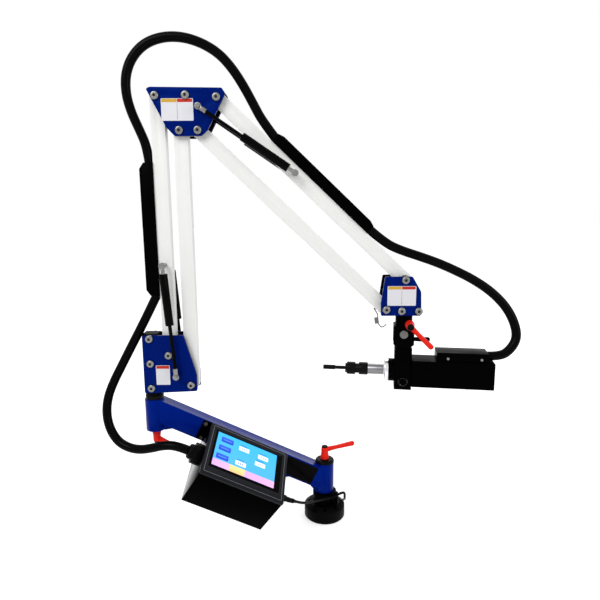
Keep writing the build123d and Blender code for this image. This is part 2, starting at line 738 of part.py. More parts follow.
def head_mount():
    low_x, high_x, height = mount_block
    block = Pos((low_x + high_x) / 2 + head_x, arm_y, mount_z + height / 2) * Box(
        high_x - low_x, plate_gap, height)
    for offset in end_bolt_offsets:
        block -= pin(stepped(pivot_g, offset), bolt_d, -plate_gap, plate_gap)
    shaft_low = block_top
    save("swivel_post", block + upright(head_x, arm_y, shaft_low, mount_z + 1, swivel_d))
    neck = upright(0, 0, block_top, neck_top, neck_d)
    body = Pos(0, 0, (block_top + block_bottom) / 2) * Box(block_w, block_depth, block_h)
    cheeks = across_head(0, tilt_z, -block_depth, block_depth, 2 * cheek_r)
    top_part = Pos(0, 0, tilt_z + block_h / 2) * Box(block_w, block_depth, block_h)
    body = body & (cheeks + top_part)
    body += neck
    lug_x, lug_z = head_lever_place[0], block_top + head_lever_place[1]
    body += across_head(lug_x, lug_z, -block_depth / 2, 0, head_lug_d)
    stud = lever_stud_d + 2 * running
    body -= across_head(lug_x, lug_z, -block_depth, -block_depth / 2 + head_stud_h, stud)
    body -= across_head(tilt_lever_place[0], block_top + tilt_lever_place[1],
                        block_depth / 2 - tilt_stud_h, block_depth, stud)
    body -= upright(0, 0, block_top - seat_gap, neck_top + 1, swivel_d + 2 * running)
    slot = Pos(0, 0, tilt_z - block_h) * Box(block_w + 2, slot_t, 2 * (block_h + slot_end_r))
    body -= slot & Pos(0, 0, tilt_z - block_h + slot_end_r) * Box(block_w + 2, slot_t, 2 * block_h)
    body -= across_head(0, tilt_z, -block_depth, block_depth, bolt_d)
    save("clamp_block", head_place * body)


def head_levers():
    x, z = head_lever_place
    base_y = -block_depth / 2 - seat_gap
    angle = radians(head_lever_angle)
    slant = (cos(angle), 0, sin(angle))
    hub = lever((x, base_y, block_top + z), (0, -1, 0), slant, head_lever_reach, head_stud_h)
    save("head_lever", *[head_place * piece for piece in hub])
    x, z = tilt_lever_place
    base_y = block_depth / 2 + seat_gap
    hub = lever((x, base_y, block_top + z), (0, 1, 0), (1, 0, 0), tilt_lever_reach, tilt_stud_h)
    save("tilt_lever", *[head_place * piece for piece in hub])


def head():
    tongue = Pos(0, 0, tilt_z - shoulder_drop / 2 - 1) * Box(tongue_w, tongue_t, shoulder_drop + 2)
    tongue += across_head(0, tilt_z, -tongue_t / 2, tongue_t / 2, tongue_w)
    top = tilt_z - shoulder_drop
    plate = Pos(0, 0, (top + head_bottom) / 2) * Box(plate_w, block_depth, top - head_bottom)
    plate += tongue
    plate -= across_head(0, tilt_z, -block_depth, block_depth, bolt_d + 2 * running)
    plate -= along_head(-plate_w, plate_w, spindle_bore_d, spindle_z)
    ring_z = spindle_z - face_ring_drop
    groove = across_head(0, ring_z, -block_depth / 2, -block_depth / 2 + face_ring_depth, face_ring_d[1])
    plate -= groove - across_head(0, ring_z, -block_depth, 0, face_ring_d[0])
    save("head_plate", head_place * plate)
    bolt = across_head(0, tilt_z, -block_depth / 2, block_depth / 2, bolt_d)
    bolt += across_head(0, tilt_z, -block_depth / 2 - pivot_head[1], -block_depth / 2, pivot_head[0])
    bolt += across_head(0, tilt_z, block_depth / 2, block_depth / 2 + pivot_nut[1], pivot_nut[0])
    save("pivot_bolt", head_place * bolt)
    flange = along_head(flange_front, -plate_w / 2, flange_d, spindle_z)
    save("bearing_flange", head_place * (flange - along_head(-cut_reach, 0, spindle_d + 2 * running, spindle_z)))
    start = plate_w / 2
    motor = Box(motor_end - start, motor_size, motor_size)
    motor = Pos((start + motor_end) / 2, 0, spindle_z - motor_drop) * motor
    motor = chamfer(motor.edges().filter_by(Axis.X), motor_chamfer)
    save("motor_body", head_place * motor)
    low, high = terminal_span
    motor_top = spindle_z - motor_drop + motor_size / 2
    box = Pos((low + high) / 2, 0, motor_top + terminal_h / 2) * Box(high - low, terminal_w, terminal_h)
    face = -terminal_w / 2
    screws = [across_head(x, motor_top + terminal_screw_rise, face - terminal_screw_h, face, terminal_screw_d)
              for x in terminal_screws]
    save("terminal_box", head_place * box, *[head_place * s for s in screws])


def spindle():
    ring = along_head(ring_nut_front, flange_front - seat_gap, ring_nut_d, spindle_z)
    ring = chamfer(ring.edges().sort_by(Axis.X)[0], 3)
    save("lock_ring", head_place * (ring - along_head(-cut_reach, 0, spindle_d, spindle_z)))
    save("spindle_shaft", head_place * along_head(chuck_back, plate_w / 2 - seat_gap, spindle_d, spindle_z))
    body = along_head(chuck_back - chuck_flange, chuck_back, chuck_d, spindle_z)
    body += along_head(chuck_front, chuck_back - chuck_flange, chuck_core_d, spindle_z)
    tap_socket = along_head(chuck_front - 1, chuck_front + tap_grip, tap_shank_d, spindle_z)
    save("chuck_body", head_place * (body - tap_socket))
    back = chuck_back - chuck_flange - sleeve_travel - seat_gap
    sleeve = along_head(chuck_front + 3, back, chuck_d, spindle_z)
    sleeve = chamfer(sleeve.edges().sort_by(Axis.X)[0], 2)
    save("chuck_sleeve", head_place * (sleeve - along_head(-cut_reach, 0, chuck_core_d + 2 * running, spindle_z)))
    thread_start = tap_tip + tap_thread_length
    tap = along_head(thread_start, chuck_front + tap_grip, tap_shank_d, spindle_z)
    tap += along_head(tap_tip, thread_start, tap_thread_d, spindle_z)
    for flute in range(tap_flutes):
        angle = radians(90 + 360 * flute / tap_flutes)
        off = tap_thread_d / 2 + 0.8
        y, z = off * cos(angle), spindle_z + off * sin(angle)
        tap -= rod((tap_tip - 1, y, z), (thread_start - 3, y, z), tap_flute_d)
    tap = tap.solids().sort_by(SortBy.VOLUME)[-1]
    save("tap", head_place * tap)


# ---------------------------------------------------------------- hook
def hook():
    edge = polar(pivot_f, -upper_drop, hook_along)
    top = polar(edge, -upper_drop - 90, bar_w / 2 + hook_eye_d / 2 + seat_gap)
    bends = [stepped(top, bend) for bend in hook_bends]
    wire = FilletPolyline(*[(x, arm_y, z) for x, z in bends], radius=hook_bend_r)
    start = Plane(origin=wire @ 0, z_dir=wire % 0)
    piece = sweep(start * Circle(hook_wire_d / 2), path=wire)
    tag_x, tag_z = stepped(top, hook_tag_place)
    tag = Pos(tag_x, arm_y, tag_z) * Rot(0, -hook_tag_lean, 0) * Box(*hook_tag)
    eye = pin(top, hook_eye_d, -hook_eye_w / 2, hook_eye_w / 2)
    save("cable_hook", piece + tag + eye)


# ---------------------------------------------------------------- hoses and power cord
lower_hose_route = [
    (-330, -142, 250), (-360, -139, 249), (-388, -134, 240), (-416, -127, 233), (-444, -119, 234),
    (-471, -111, 246), (-490, -103, 273), (-498, -96, 306), (-495, -89, 342), (-481, -82, 378), (-461, -77, 416),
    (-441, -74, 454), (-418, -71, 496), (-396, -70, 537),
]
top_hose_route = [
    (-383, -70, 893), (-397, -70, 927), (-412, -70, 962), (-421, -70, 998), (-420, -70, 1036), (-405, -70, 1071),
    (-376, -70, 1098), (-337, -70, 1110), (-297, -70, 1109), (-258, -70, 1097), (-223, -70, 1076),
    (-196, -70, 1046), (-174, -70, 1012), (-155, -70, 977), (-137, -70, 943),
]
head_hose_route = [
    (127, -70, 686), (163, -70, 670), (203, -70, 657), (243, -71, 643), (282, -72, 626), (322, -74, 606),
    (361, -77, 580), (393, -81, 548), (412, -86, 513), (418, -92, 480),
    (403, -98, 455),
]
cord_route = [
    (-70, -152, 124), (-54, -132, 108), (-38, -104, 93), (-22, -78, 81), (-6, -58, 73), (11, -47, 70),
    (27, -43, 75), (39, -40, 80), (48, -33, 77), (49, -24, 61), (50, -9, 47), (53, 11, 35), (52, 32, 20),
    (44, 49, 8), (29, 65, 3.3), (13, 82, 3), (5, 107, 3), (2, 134, 3), (-7, 160, 3), (-27, 180, 3),
    (-57, 190, 3), (-92, 189, 3), (-124, 178, 3), (-150, 164, 3),
]


def coil_point(turns):
    """The centre of the coil's cord: a spiral in on the bench, a climb of one layer, and a spiral out."""
    outer, inner = coil_mean_r
    climb = 0.5
    if turns <= coil_turns:
        radius, lift = outer + (inner - outer) * turns / coil_turns, 0.0
    elif turns <= coil_turns + climb:
        share = (turns - coil_turns) / climb
        radius, lift = inner, coil_layer * share * share * (3 - 2 * share)
    else:
        radius = inner + (outer - inner) * (turns - coil_turns - climb) / coil_turns
        lift = coil_layer
    angle = radians(coil_start) + 2 * pi * turns
    return Vector(coil_centre[0] + radius * cos(angle), coil_centre[1] + radius * sin(angle), cord_d / 2 + lift)


def coil():
    """The spare cord as one unbroken tube on pairs of arcs, one pair to a quarter turn."""
    total = 2 * coil_turns + 0.5
    steps = int(total * 8)
    step = total / steps
    samples = [coil_point(i * step) for i in range(steps + 1)]
    headings = []
    for i in range(steps + 1):
        ahead = coil_point(min(i * step + 0.002, total))
        behind = coil_point(max(i * step - 0.002, 0))
        headings.append((ahead - behind).normalized())
    edges = []
    for a, b, ta, tb in zip(samples, samples[1:], headings, headings[1:]):
        chord = b - a
        both = ta + tb
        spread = 2 * (1 - ta.dot(tb))
        along = chord.dot(both)
        reach = (-along + sqrt(along ** 2 + spread * chord.dot(chord))) / spread
        first, second = a + ta * reach, b - tb * reach
        middle = (first + second) * 0.5
        edges.append(TangentArc(a, middle, tangent=ta))
        edges.append(TangentArc(middle, b, tangent=(second - first).normalized()))
    tail_end = samples[-1] + headings[-1] * coil_tail
    edges.append(Line(samples[-1], tail_end))
    path = Wire([edge for piece in edges for edge in piece.edges()])
    start = Plane(origin=samples[0], z_dir=headings[0])
    tube = sweep(start * Circle(cord_d / 2), path=path)
    fine = [coil_point(total * i / 720) for i in range(721)]
    apart = 720 / total / 2
    gaps = [(fine[i] - fine[j]).length for i in range(721) for j in range(i + int(apart), 721)]
    print("coil length", round(path.length, 1), "least gap", round(min(gaps) - cord_d, 2))
    print("coil volume ratio", round(tube.volume / (pi * cord_d ** 2 / 4 * path.length), 4))
    return tube, samples[0], headings[0], tail_end, headings[-1]


def cables(hose_socket, cord_socket):
    """The three open stretches of the hose and the power cord, each cut flush with what it enters."""
    lower = trunk(pivot_b, pivot_a, 1, lower_trunk_span, lower_trunk_rise)[1]
    upper = trunk(pivot_e, pivot_g, 1, upper_trunk_span, upper_trunk_rise)[1]
    hose_exit, gland = hose_socket
    route = [hose_exit, *lower_hose_route, trunk_mouth(pivot_b, pivot_a, lower_trunk_span[0])]
    save("lower_hose", tube_along(route, hose_d, "lower_hose") - lower - gland)
    route = [trunk_mouth(pivot_b, pivot_a, lower_trunk_span[1]), *top_hose_route,
             trunk_mouth(pivot_e, pivot_g, upper_trunk_span[0])]
    save("top_hose", tube_along(route, hose_d, "top_hose") - lower - upper)
    socket_z = spindle_z - motor_drop + motor_size / 2 + terminal_h / 2
    socket = head_place * Pos(terminal_span[1], 0, socket_z)
    socket_out = head_place * Pos(terminal_span[1] + socket_lead, 0, socket_z)
    route = [trunk_mouth(pivot_e, pivot_g, upper_trunk_span[1]), *head_hose_route, socket_out.position,
             socket.position]
    save("head_hose", tube_along(route, hose_d, "head_hose") - upper)
    tube, start, heading, end, end_heading = coil()
    save("cord_coil", tube)
    cord_exit, small_gland = cord_socket
    route = [cord_exit, *cord_route, start - heading * coil_lead, start]
    save("power_cord", tube_along(route, cord_d, "power_cord") - small_gland)
    plug_at = Plane(origin=end, z_dir=end_heading, x_dir=(0, 0, 1))
    relief = Solid.make_cone(cord_d / 2 + 0.5, plug_relief[0] / 2, plug_relief[1], plug_at)
    width, depth, height = plug_body
    lift = height / 2 - end.Z
    face = plug_at.offset(plug_relief[1])
    body = face.location * Pos(lift, 0, depth / 2) * Box(height, width, depth)
    pins = [face.location * Pos(lift, y, depth + plug_pin_h / 2) * Cylinder(plug_pin_d / 2, plug_pin_h)
            for y in (-plug_pin_gap / 2, plug_pin_gap / 2)]
    save("power_plug", relief + body + pins[0] + pins[1])


def trunk_mouth(start, end, along):
    """The middle of a trunk's open end, or a point on its line, at a distance along the bar."""
    angle = bar_angle(start, end)
    on_bar = polar(start, angle, along)
    x, z = polar(on_bar, angle + 90, bar_w / 2 + trunk_end_lift / 2)
    return Vector(x, arm_y, z)


def main():
    os.makedirs("parts", exist_ok=True)
    base()
    swing_arm()
    hose_exit, cord_exit = control_box()
    box_mount()
    column()
    arms()
    springs("lower", *lower_spring())
    springs("upper", *upper_spring())
    head_mount()
    head_levers()
    head()
    spindle()
    hook()
    cables(hose_exit, cord_exit)


main()
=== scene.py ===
from math import cos, hypot, pi, radians, sin

import bmesh
import bpy
from mathutils import Matrix, Vector


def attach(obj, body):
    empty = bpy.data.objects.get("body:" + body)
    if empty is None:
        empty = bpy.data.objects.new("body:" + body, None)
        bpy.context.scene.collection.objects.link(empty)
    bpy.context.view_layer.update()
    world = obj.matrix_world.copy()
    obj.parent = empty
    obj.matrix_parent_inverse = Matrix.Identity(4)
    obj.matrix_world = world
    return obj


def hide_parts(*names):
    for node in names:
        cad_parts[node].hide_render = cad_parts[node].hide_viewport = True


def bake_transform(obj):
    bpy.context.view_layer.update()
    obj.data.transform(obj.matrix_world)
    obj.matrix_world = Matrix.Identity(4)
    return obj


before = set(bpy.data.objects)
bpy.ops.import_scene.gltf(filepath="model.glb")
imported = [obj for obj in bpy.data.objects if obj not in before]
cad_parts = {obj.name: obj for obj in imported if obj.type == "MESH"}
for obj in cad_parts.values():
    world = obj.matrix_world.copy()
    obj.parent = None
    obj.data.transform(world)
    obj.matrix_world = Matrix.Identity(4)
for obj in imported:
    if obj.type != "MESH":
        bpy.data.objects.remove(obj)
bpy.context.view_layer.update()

# Places and sizes are millimetres unless a note says metres, and mm turns them into metres.
mm = 0.001

# Both arms move in the plane y = armY, and their plates reach plateReach to each side of it.
armY = -70.147
plateReach = 22.5

# The lower tube slopes along tubeAlong. The control box and its gland follow it.
tubeAlong = Vector((0.86926, 0.15484, -0.46947))


# The camera fitted to the photo, a pale floor and three soft lamps, in metres and degrees
cameraView = {"place": (-0.0455, -1.1999, 0.7508), "yaw": -0.68, "pitch": 9.54, "roll": -0.23, "lens": 30.93}
studio = {
    "floorSize": 25, "floorDrop": 0.0004, "floorGrey": 0.80, "floorRough": 0.9, "floorGlow": 0.62,
    "skyGlow": 0.50, "lampAim": (-0.05, -0.07, 0.5),
    "lamps": {
        "keyLamp": {"place": (-1.6, -2.2, 2.6), "size": 1.6, "power": 50},
        "sideLamp": {"place": (2.4, -1.6, 1.5), "size": 1.4, "power": 18},
        "backLamp": {"place": (0.3, 2.2, 2.4), "size": 1.8, "power": 24},
    },
}


def makeCamera(view):
    yaw, pitch, roll = (radians(view[key]) for key in ("yaw", "pitch", "roll"))
    ahead = Vector((sin(yaw), cos(yaw), 0))
    right = Vector((cos(yaw), -sin(yaw), 0))
    forward = ahead * cos(pitch) - Vector((0, 0, sin(pitch)))
    up = Vector((0, 0, cos(pitch))) + ahead * sin(pitch)
    right, up = right * cos(roll) + up * sin(roll), up * cos(roll) - right * sin(roll)
    data = bpy.data.cameras.new("photoCamera")
    data.lens = view["lens"]
    data.sensor_width = 36
    data.clip_start, data.clip_end = 0.05, 60
    camera = bpy.data.objects.new("photoCamera", data)
    turn = Matrix((right, up, -forward)).transposed().to_4x4()
    camera.matrix_world = Matrix.Translation(view["place"]) @ turn
    bpy.context.scene.collection.objects.link(camera)
    bpy.context.scene.camera = camera


def seenDirectly(tree):
    path = tree.nodes.new("ShaderNodeLightPath")
    seen = tree.nodes.new("ShaderNodeMath")
    seen.operation = "MAXIMUM"
    tree.links.new(path.outputs["Is Camera Ray"], seen.inputs[0])
    tree.links.new(path.outputs["Is Glossy Ray"], seen.inputs[1])
    return seen.outputs[0]


def makeStudio(look):
    tool = bmesh.new()
    bmesh.ops.create_grid(tool, x_segments=2, y_segments=2, size=look["floorSize"])
    mesh = bpy.data.meshes.new("floor")
    tool.to_mesh(mesh)
    tool.free()
    floor = bpy.data.objects.new("floor", mesh)
    floor.location.z = -look["floorDrop"]
    bpy.context.scene.collection.objects.link(floor)
    material = bpy.data.materials.new("paleFloor")
    material.use_nodes = True
    tree = material.node_tree
    shader = tree.nodes["Principled BSDF"]
    grey = look["floorGrey"]
    shader.inputs["Base Color"].default_value = (grey, grey, grey, 1)
    shader.inputs["Roughness"].default_value = look["floorRough"]
    shader.inputs["Emission Color"].default_value = (1, 1, 1, 1)
    glow = tree.nodes.new("ShaderNodeMath")
    glow.operation = "MULTIPLY"
    glow.inputs[1].default_value = look["floorGlow"]
    tree.links.new(seenDirectly(tree), glow.inputs[0])
    tree.links.new(glow.outputs[0], shader.inputs["Emission Strength"])
    mesh.materials.append(material)

    world = bpy.data.worlds.new("studioSky")
    bpy.context.scene.world = world
    world.use_nodes = True
    tree = world.node_tree
    back = tree.nodes["Background"]
    back.inputs["Color"].default_value = (1, 1, 1, 1)
    level = tree.nodes.new("ShaderNodeMapRange")
    level.inputs["To Min"].default_value = look["skyGlow"]
    level.inputs["To Max"].default_value = 1.0
    tree.links.new(seenDirectly(tree), level.inputs["Value"])
    tree.links.new(level.outputs[0], back.inputs["Strength"])

    for name, lamp in look["lamps"].items():
        data = bpy.data.lights.new(name, "AREA")
        data.energy = lamp["power"]
        data.size = lamp["size"]
        light = bpy.data.objects.new(name, data)
        light.location = lamp["place"]
        aim = Vector(look["lampAim"]) - light.location
        light.rotation_euler = aim.to_track_quat("-Z", "Y").to_euler()
        bpy.context.scene.collection.objects.link(light)
    bpy.context.scene.view_settings.view_transform = "Standard"


makeCamera(cameraView)
makeStudio(studio)
print("camera, floor and light made")


# Finishes. One grain group serves them all: its broad part mixes the colours, its fine part makes the bump,
# whose height is in metres.
grain = {"broadShare": 25, "roughSpan": (0.3, 0.7), "bumpHeight": 0.0002, "lacquerRough": 0.12}


def makeGrainTree():
    tree = bpy.data.node_groups.new("surfaceGrain", "ShaderNodeTree")
    sockets = {"Scale": 300.0, "Broad Scale": 12.0}
    for name, value in sockets.items():
        socket = tree.interface.new_socket(name=name, in_out="INPUT", socket_type="NodeSocketFloat")
        socket.default_value = value
    stretch = tree.interface.new_socket(name="Stretch", in_out="INPUT", socket_type="NodeSocketVector")
    stretch.default_value = (1, 1, 1)
    for name in ("Fine", "Broad"):
        tree.interface.new_socket(name=name, in_out="OUTPUT", socket_type="NodeSocketFloat")
    start = tree.nodes.new("NodeGroupInput")
    end = tree.nodes.new("NodeGroupOutput")
    place = tree.nodes.new("ShaderNodeTexCoord")
    scaled = tree.nodes.new("ShaderNodeVectorMath")
    scaled.operation = "MULTIPLY"
    tree.links.new(place.outputs["Object"], scaled.inputs[0])
    tree.links.new(start.outputs["Stretch"], scaled.inputs[1])
    for name, source, detail in (("Fine", "Scale", 3.0), ("Broad", "Broad Scale", 5.0)):
        noise = tree.nodes.new("ShaderNodeTexNoise")
        noise.inputs["Detail"].default_value = detail
        tree.links.new(scaled.outputs[0], noise.inputs["Vector"])
        tree.links.new(start.outputs[source], noise.inputs["Scale"])
        tree.links.new(noise.outputs["Fac"], end.inputs[name])
    return tree


grainTree = makeGrainTree()

finishLooks = {
    "bluePaint": {
        "colour": (0.0003, 0.006, 0.12), "other": (0.0006, 0.010, 0.155), "rough": (0.26, 0.38),
        "scale": 620, "bump": 0.10, "gloss": 0.16, "tint": (0.02, 0.20, 1.0), "graze": (0.60, 0.95, 0.10)},
    "tubeBlue": {
        "colour": (0.0003, 0.008, 0.18), "other": (0.0006, 0.014, 0.23), "rough": (0.22, 0.34),
        "scale": 620, "bump": 0.10, "gloss": 0.14, "tint": (0.02, 0.25, 1.0), "graze": (0.60, 0.95, 0.03)},
    "whitePaint": {
        "colour": (0.84, 0.84, 0.82), "other": (0.90, 0.90, 0.88), "rough": (0.30, 0.42),
        "scale": 620, "bump": 0.10, "gloss": 0.3},
    "blackPaint": {
        "colour": (0.0004, 0.0004, 0.0005), "other": (0.0009, 0.0009, 0.0010), "rough": (0.22, 0.36),
        "scale": 900, "bump": 0.10, "gloss": 0.008, "graze": (0.55, 0.95, 0.10)},
    "boxPaint": {
        "colour": (0.0003, 0.0003, 0.0003), "other": (0.0006, 0.0006, 0.0006), "rough": (0.30, 0.42),
        "scale": 900, "bump": 0.08, "gloss": 0.004, "graze": (0.66, 0.86, 0.80)},
    "blackCast": {
        "colour": (0.0006, 0.0006, 0.0007), "other": (0.0016, 0.0016, 0.0018), "rough": (0.30, 0.48),
        "scale": 520, "bump": 0.25, "gloss": 0.03},
    "blackPlastic": {
        "colour": (0.0009, 0.0009, 0.0009), "other": (0.002, 0.002, 0.002), "rough": (0.30, 0.42),
        "scale": 1400, "bump": 0.18, "gloss": 0.05},
    "blackGloss": {
        "colour": (0.0005, 0.0005, 0.0006), "other": (0.0009, 0.0009, 0.001), "rough": (0.08, 0.15),
        "scale": 300, "bump": 0.03, "gloss": 0.035},
    "blackHose": {
        "colour": (0.0005, 0.0005, 0.0005), "other": (0.0012, 0.0012, 0.0012), "rough": (0.18, 0.28),
        "scale": 700, "bump": 0.08, "gloss": 0.035},
    "greyPlastic": {
        "colour": (0.0032, 0.0035, 0.0060), "other": (0.0050, 0.0055, 0.0090), "rough": (0.38, 0.5),
        "scale": 1500, "bump": 0.25, "gloss": 0.12},
    "lineGrey": {
        "colour": (0.14, 0.15, 0.16), "other": (0.20, 0.21, 0.22), "rough": (0.3, 0.4),
        "scale": 900, "bump": 0.08, "gloss": 0.2},
    "redPlastic": {
        "colour": (0.80, 0.012, 0.006), "other": (0.88, 0.022, 0.010), "rough": (0.28, 0.4),
        "scale": 700, "bump": 0.14, "gloss": 0.12},
    "steel": {
        "colour": (0.15, 0.15, 0.145), "other": (0.27, 0.27, 0.26), "rough": (0.20, 0.34),
        "scale": 400, "bump": 0.06, "metal": 1.0},
    "socketShade": {
        "colour": (0.012, 0.012, 0.012), "other": (0.02, 0.02, 0.02), "rough": (0.4, 0.6),
        "scale": 500, "bump": 0.1, "gloss": 0.1},
    "spindleSteel": {
        "colour": (0.05, 0.05, 0.055), "other": (0.34, 0.34, 0.35), "rough": (0.16, 0.30),
        "scale": 900, "bump": 0.15, "metal": 1.0, "stretch": (0.15, 1, 1)},
    "hookSteel": {
        "colour": (0.09, 0.09, 0.085), "other": (0.18, 0.18, 0.17), "rough": (0.28, 0.42),
        "scale": 500, "bump": 0.15, "metal": 0.9},
    "brightRing": {
        "colour": (0.66, 0.67, 0.68), "other": (0.84, 0.84, 0.85), "rough": (0.12, 0.24),
        "scale": 300, "bump": 0.05, "metal": 1.0},
    "darkSteel": {
        "colour": (0.0016, 0.0016, 0.0018), "other": (0.0045, 0.0045, 0.005), "rough": (0.22, 0.34),
        "scale": 500, "bump": 0.12, "metal": 0.1, "gloss": 0.06},
    "bushBronze": {
        "colour": (0.42, 0.24, 0.08), "other": (0.55, 0.33, 0.12), "rough": (0.3, 0.45),
        "scale": 500, "bump": 0.2, "metal": 1.0},
    "driveGrey": {
        "colour": (0.09, 0.09, 0.10), "other": (0.12, 0.12, 0.13), "rough": (0.4, 0.5),
        "scale": 800, "bump": 0.2},
    "labelWhite": {
        "colour": (0.72, 0.72, 0.76), "other": (0.78, 0.78, 0.82), "rough": (0.35, 0.45),
        "scale": 900, "bump": 0.03, "gloss": 0.2},
    "labelRed": {
        "colour": (0.50, 0.02, 0.012), "other": (0.58, 0.035, 0.015), "rough": (0.35, 0.45),
        "scale": 900, "bump": 0.03, "gloss": 0.2},
    "labelYellow": {
        "colour": (0.60, 0.34, 0.03), "other": (0.66, 0.40, 0.05), "rough": (0.35, 0.45),
        "scale": 900, "bump": 0.03, "gloss": 0.2},
    "labelBlack": {
        "colour": (0.0008, 0.0008, 0.0009), "other": (0.0015, 0.0015, 0.0016), "rough": (0.16, 0.24),
        "scale": 900, "bump": 0.03, "gloss": 0.03},
}


def makeFinish(name, look):
    material = bpy.data.materials.new(name)
    material.use_nodes = True
    tree = material.node_tree
    shader = tree.nodes["Principled BSDF"]
    noise = tree.nodes.new("ShaderNodeGroup")
    noise.node_tree = grainTree
    noise.inputs["Scale"].default_value = look["scale"]
    noise.inputs["Broad Scale"].default_value = look["scale"] / grain["broadShare"]
    noise.inputs["Stretch"].default_value = look.get("stretch", (1, 1, 1))
    mix = tree.nodes.new("ShaderNodeMix")
    mix.data_type = "RGBA"
    mix.inputs["A"].default_value = (*look["colour"], 1)
    mix.inputs["B"].default_value = (*look["other"], 1)
    rough = tree.nodes.new("ShaderNodeMapRange")
    rough.inputs["From Min"].default_value, rough.inputs["From Max"].default_value = grain["roughSpan"]
    rough.inputs["To Min"].default_value, rough.inputs["To Max"].default_value = look["rough"]
    bump = tree.nodes.new("ShaderNodeBump")
    bump.inputs["Strength"].default_value = look["bump"]
    bump.inputs["Distance"].default_value = grain["bumpHeight"]
    tree.links.new(noise.outputs["Broad"], mix.inputs["Factor"])
    tree.links.new(noise.outputs["Broad"], rough.inputs["Value"])
    tree.links.new(noise.outputs["Fine"], bump.inputs["Height"])
    tree.links.new(mix.outputs["Result"], shader.inputs["Base Color"])
    tree.links.new(rough.outputs[0], shader.inputs["Roughness"])
    tree.links.new(bump.outputs[0], shader.inputs["Normal"])
    shader.inputs["Metallic"].default_value = look.get("metal", 0.0)
    shader.inputs["Specular IOR Level"].default_value = look.get("gloss", 0.5)
    if "tint" in look:
        shader.inputs["Specular Tint"].default_value = (*look["tint"], 1)
    # A lacquer that only shows where the surface is seen at a slant
    if "graze" in look:
        slant = tree.nodes.new("ShaderNodeLayerWeight")
        lacquer = tree.nodes.new("ShaderNodeMapRange")
        low, high, most = look["graze"]
        lacquer.inputs["From Min"].default_value, lacquer.inputs["From Max"].default_value = low, high
        lacquer.inputs["To Max"].default_value = most
        tree.links.new(slant.outputs["Facing"], lacquer.inputs["Value"])
        tree.links.new(lacquer.outputs[0], shader.inputs["Coat Weight"])
        shader.inputs["Coat Roughness"].default_value = grain["lacquerRough"]
    return material


finishes = {name: makeFinish(name, look) for name, look in finishLooks.items()}
print("finishes made")


# The head swivels about an upright axis at headX and points headYaw to the side of the arms.
headX = 172.676
headYaw = radians(-8)
headAlong = Vector((cos(headYaw), sin(headYaw), 0))
headAcross = Vector((-sin(headYaw), cos(headYaw), 0))
spindleLevel = 399.83


def headPoint(along, across, level):
    return Vector((headX, armY, level)) + headAlong * along + headAcross * across


def camelName(node):
    first, *others = node.split("_")
    return first + "".join(word.capitalize() for word in others)


def addPiece(name, mesh):
    piece = bpy.data.objects.new(name, mesh)
    bpy.context.scene.collection.objects.link(piece)
    return piece


def bake(piece):
    view = bpy.context.evaluated_depsgraph_get()
    mesh = bpy.data.meshes.new_from_object(piece.evaluated_get(view))
    piece.modifiers.clear()
    piece.data = mesh
    return piece


def finishPiece(piece, body, finish, replaced=(), sharp=35):
    mesh = piece.data
    if not mesh.materials:
        mesh.materials.append(finishes[finish])
    mesh.shade_smooth()
    mesh.set_sharp_from_angle(angle=radians(sharp))
    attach(piece, body)
    if replaced:
        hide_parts(*replaced)
    return piece


# Joins rings of points, each of the same number of sides, to a closed skin
def skinRings(name, points, sides):
    faces = []
    for start in range(0, len(points) - sides, sides):
        for j in range(sides):
            a, b = start + j, start + (j + 1) % sides
            faces.append((a, b, b + sides, a + sides))
    faces.append(tuple(reversed(range(sides))))
    faces.append(tuple(range(len(points) - sides, len(points))))
    mesh = bpy.data.meshes.new(name)
    mesh.from_pydata(points, [], faces)
    mesh.update()
    return mesh


def tubeMesh(name, centres, radii, sides=28):
    last = len(centres) - 1
    turn = None
    points = []
    for i, centre in enumerate(centres):
        ahead = (centres[min(i + 1, last)] - centres[max(i - 1, 0)]).normalized()
        if turn is None:
            side = ahead.orthogonal().normalized()
        else:
            side = (turn - ahead * turn.dot(ahead)).normalized()
        turn = side
        other = ahead.cross(side)
        for j in range(sides):
            angle = 2 * pi * j / sides
            points.append(centre + (side * cos(angle) + other * sin(angle)) * radii[i])
    return skinRings(name, points, sides)


def routeLine(name, route, steps=10):
    data = bpy.data.curves.new(name, "CURVE")
    data.dimensions = "3D"
    spline = data.splines.new("NURBS")
    spline.points.add(len(route) - 1)
    for point, place in zip(spline.points, route):
        point.co = (*[value * mm for value in place], 1)
    spline.order_u = 3
    spline.use_endpoint_u = True
    data.resolution_u = steps
    curve = bpy.data.objects.new(name, data)
    bpy.context.scene.collection.objects.link(curve)
    view = bpy.context.evaluated_depsgraph_get()
    mesh = bpy.data.meshes.new_from_object(curve.evaluated_get(view))
    line = [vertex.co.copy() for vertex in mesh.vertices]
    bpy.data.objects.remove(curve)
    bpy.data.meshes.remove(mesh)
    return line


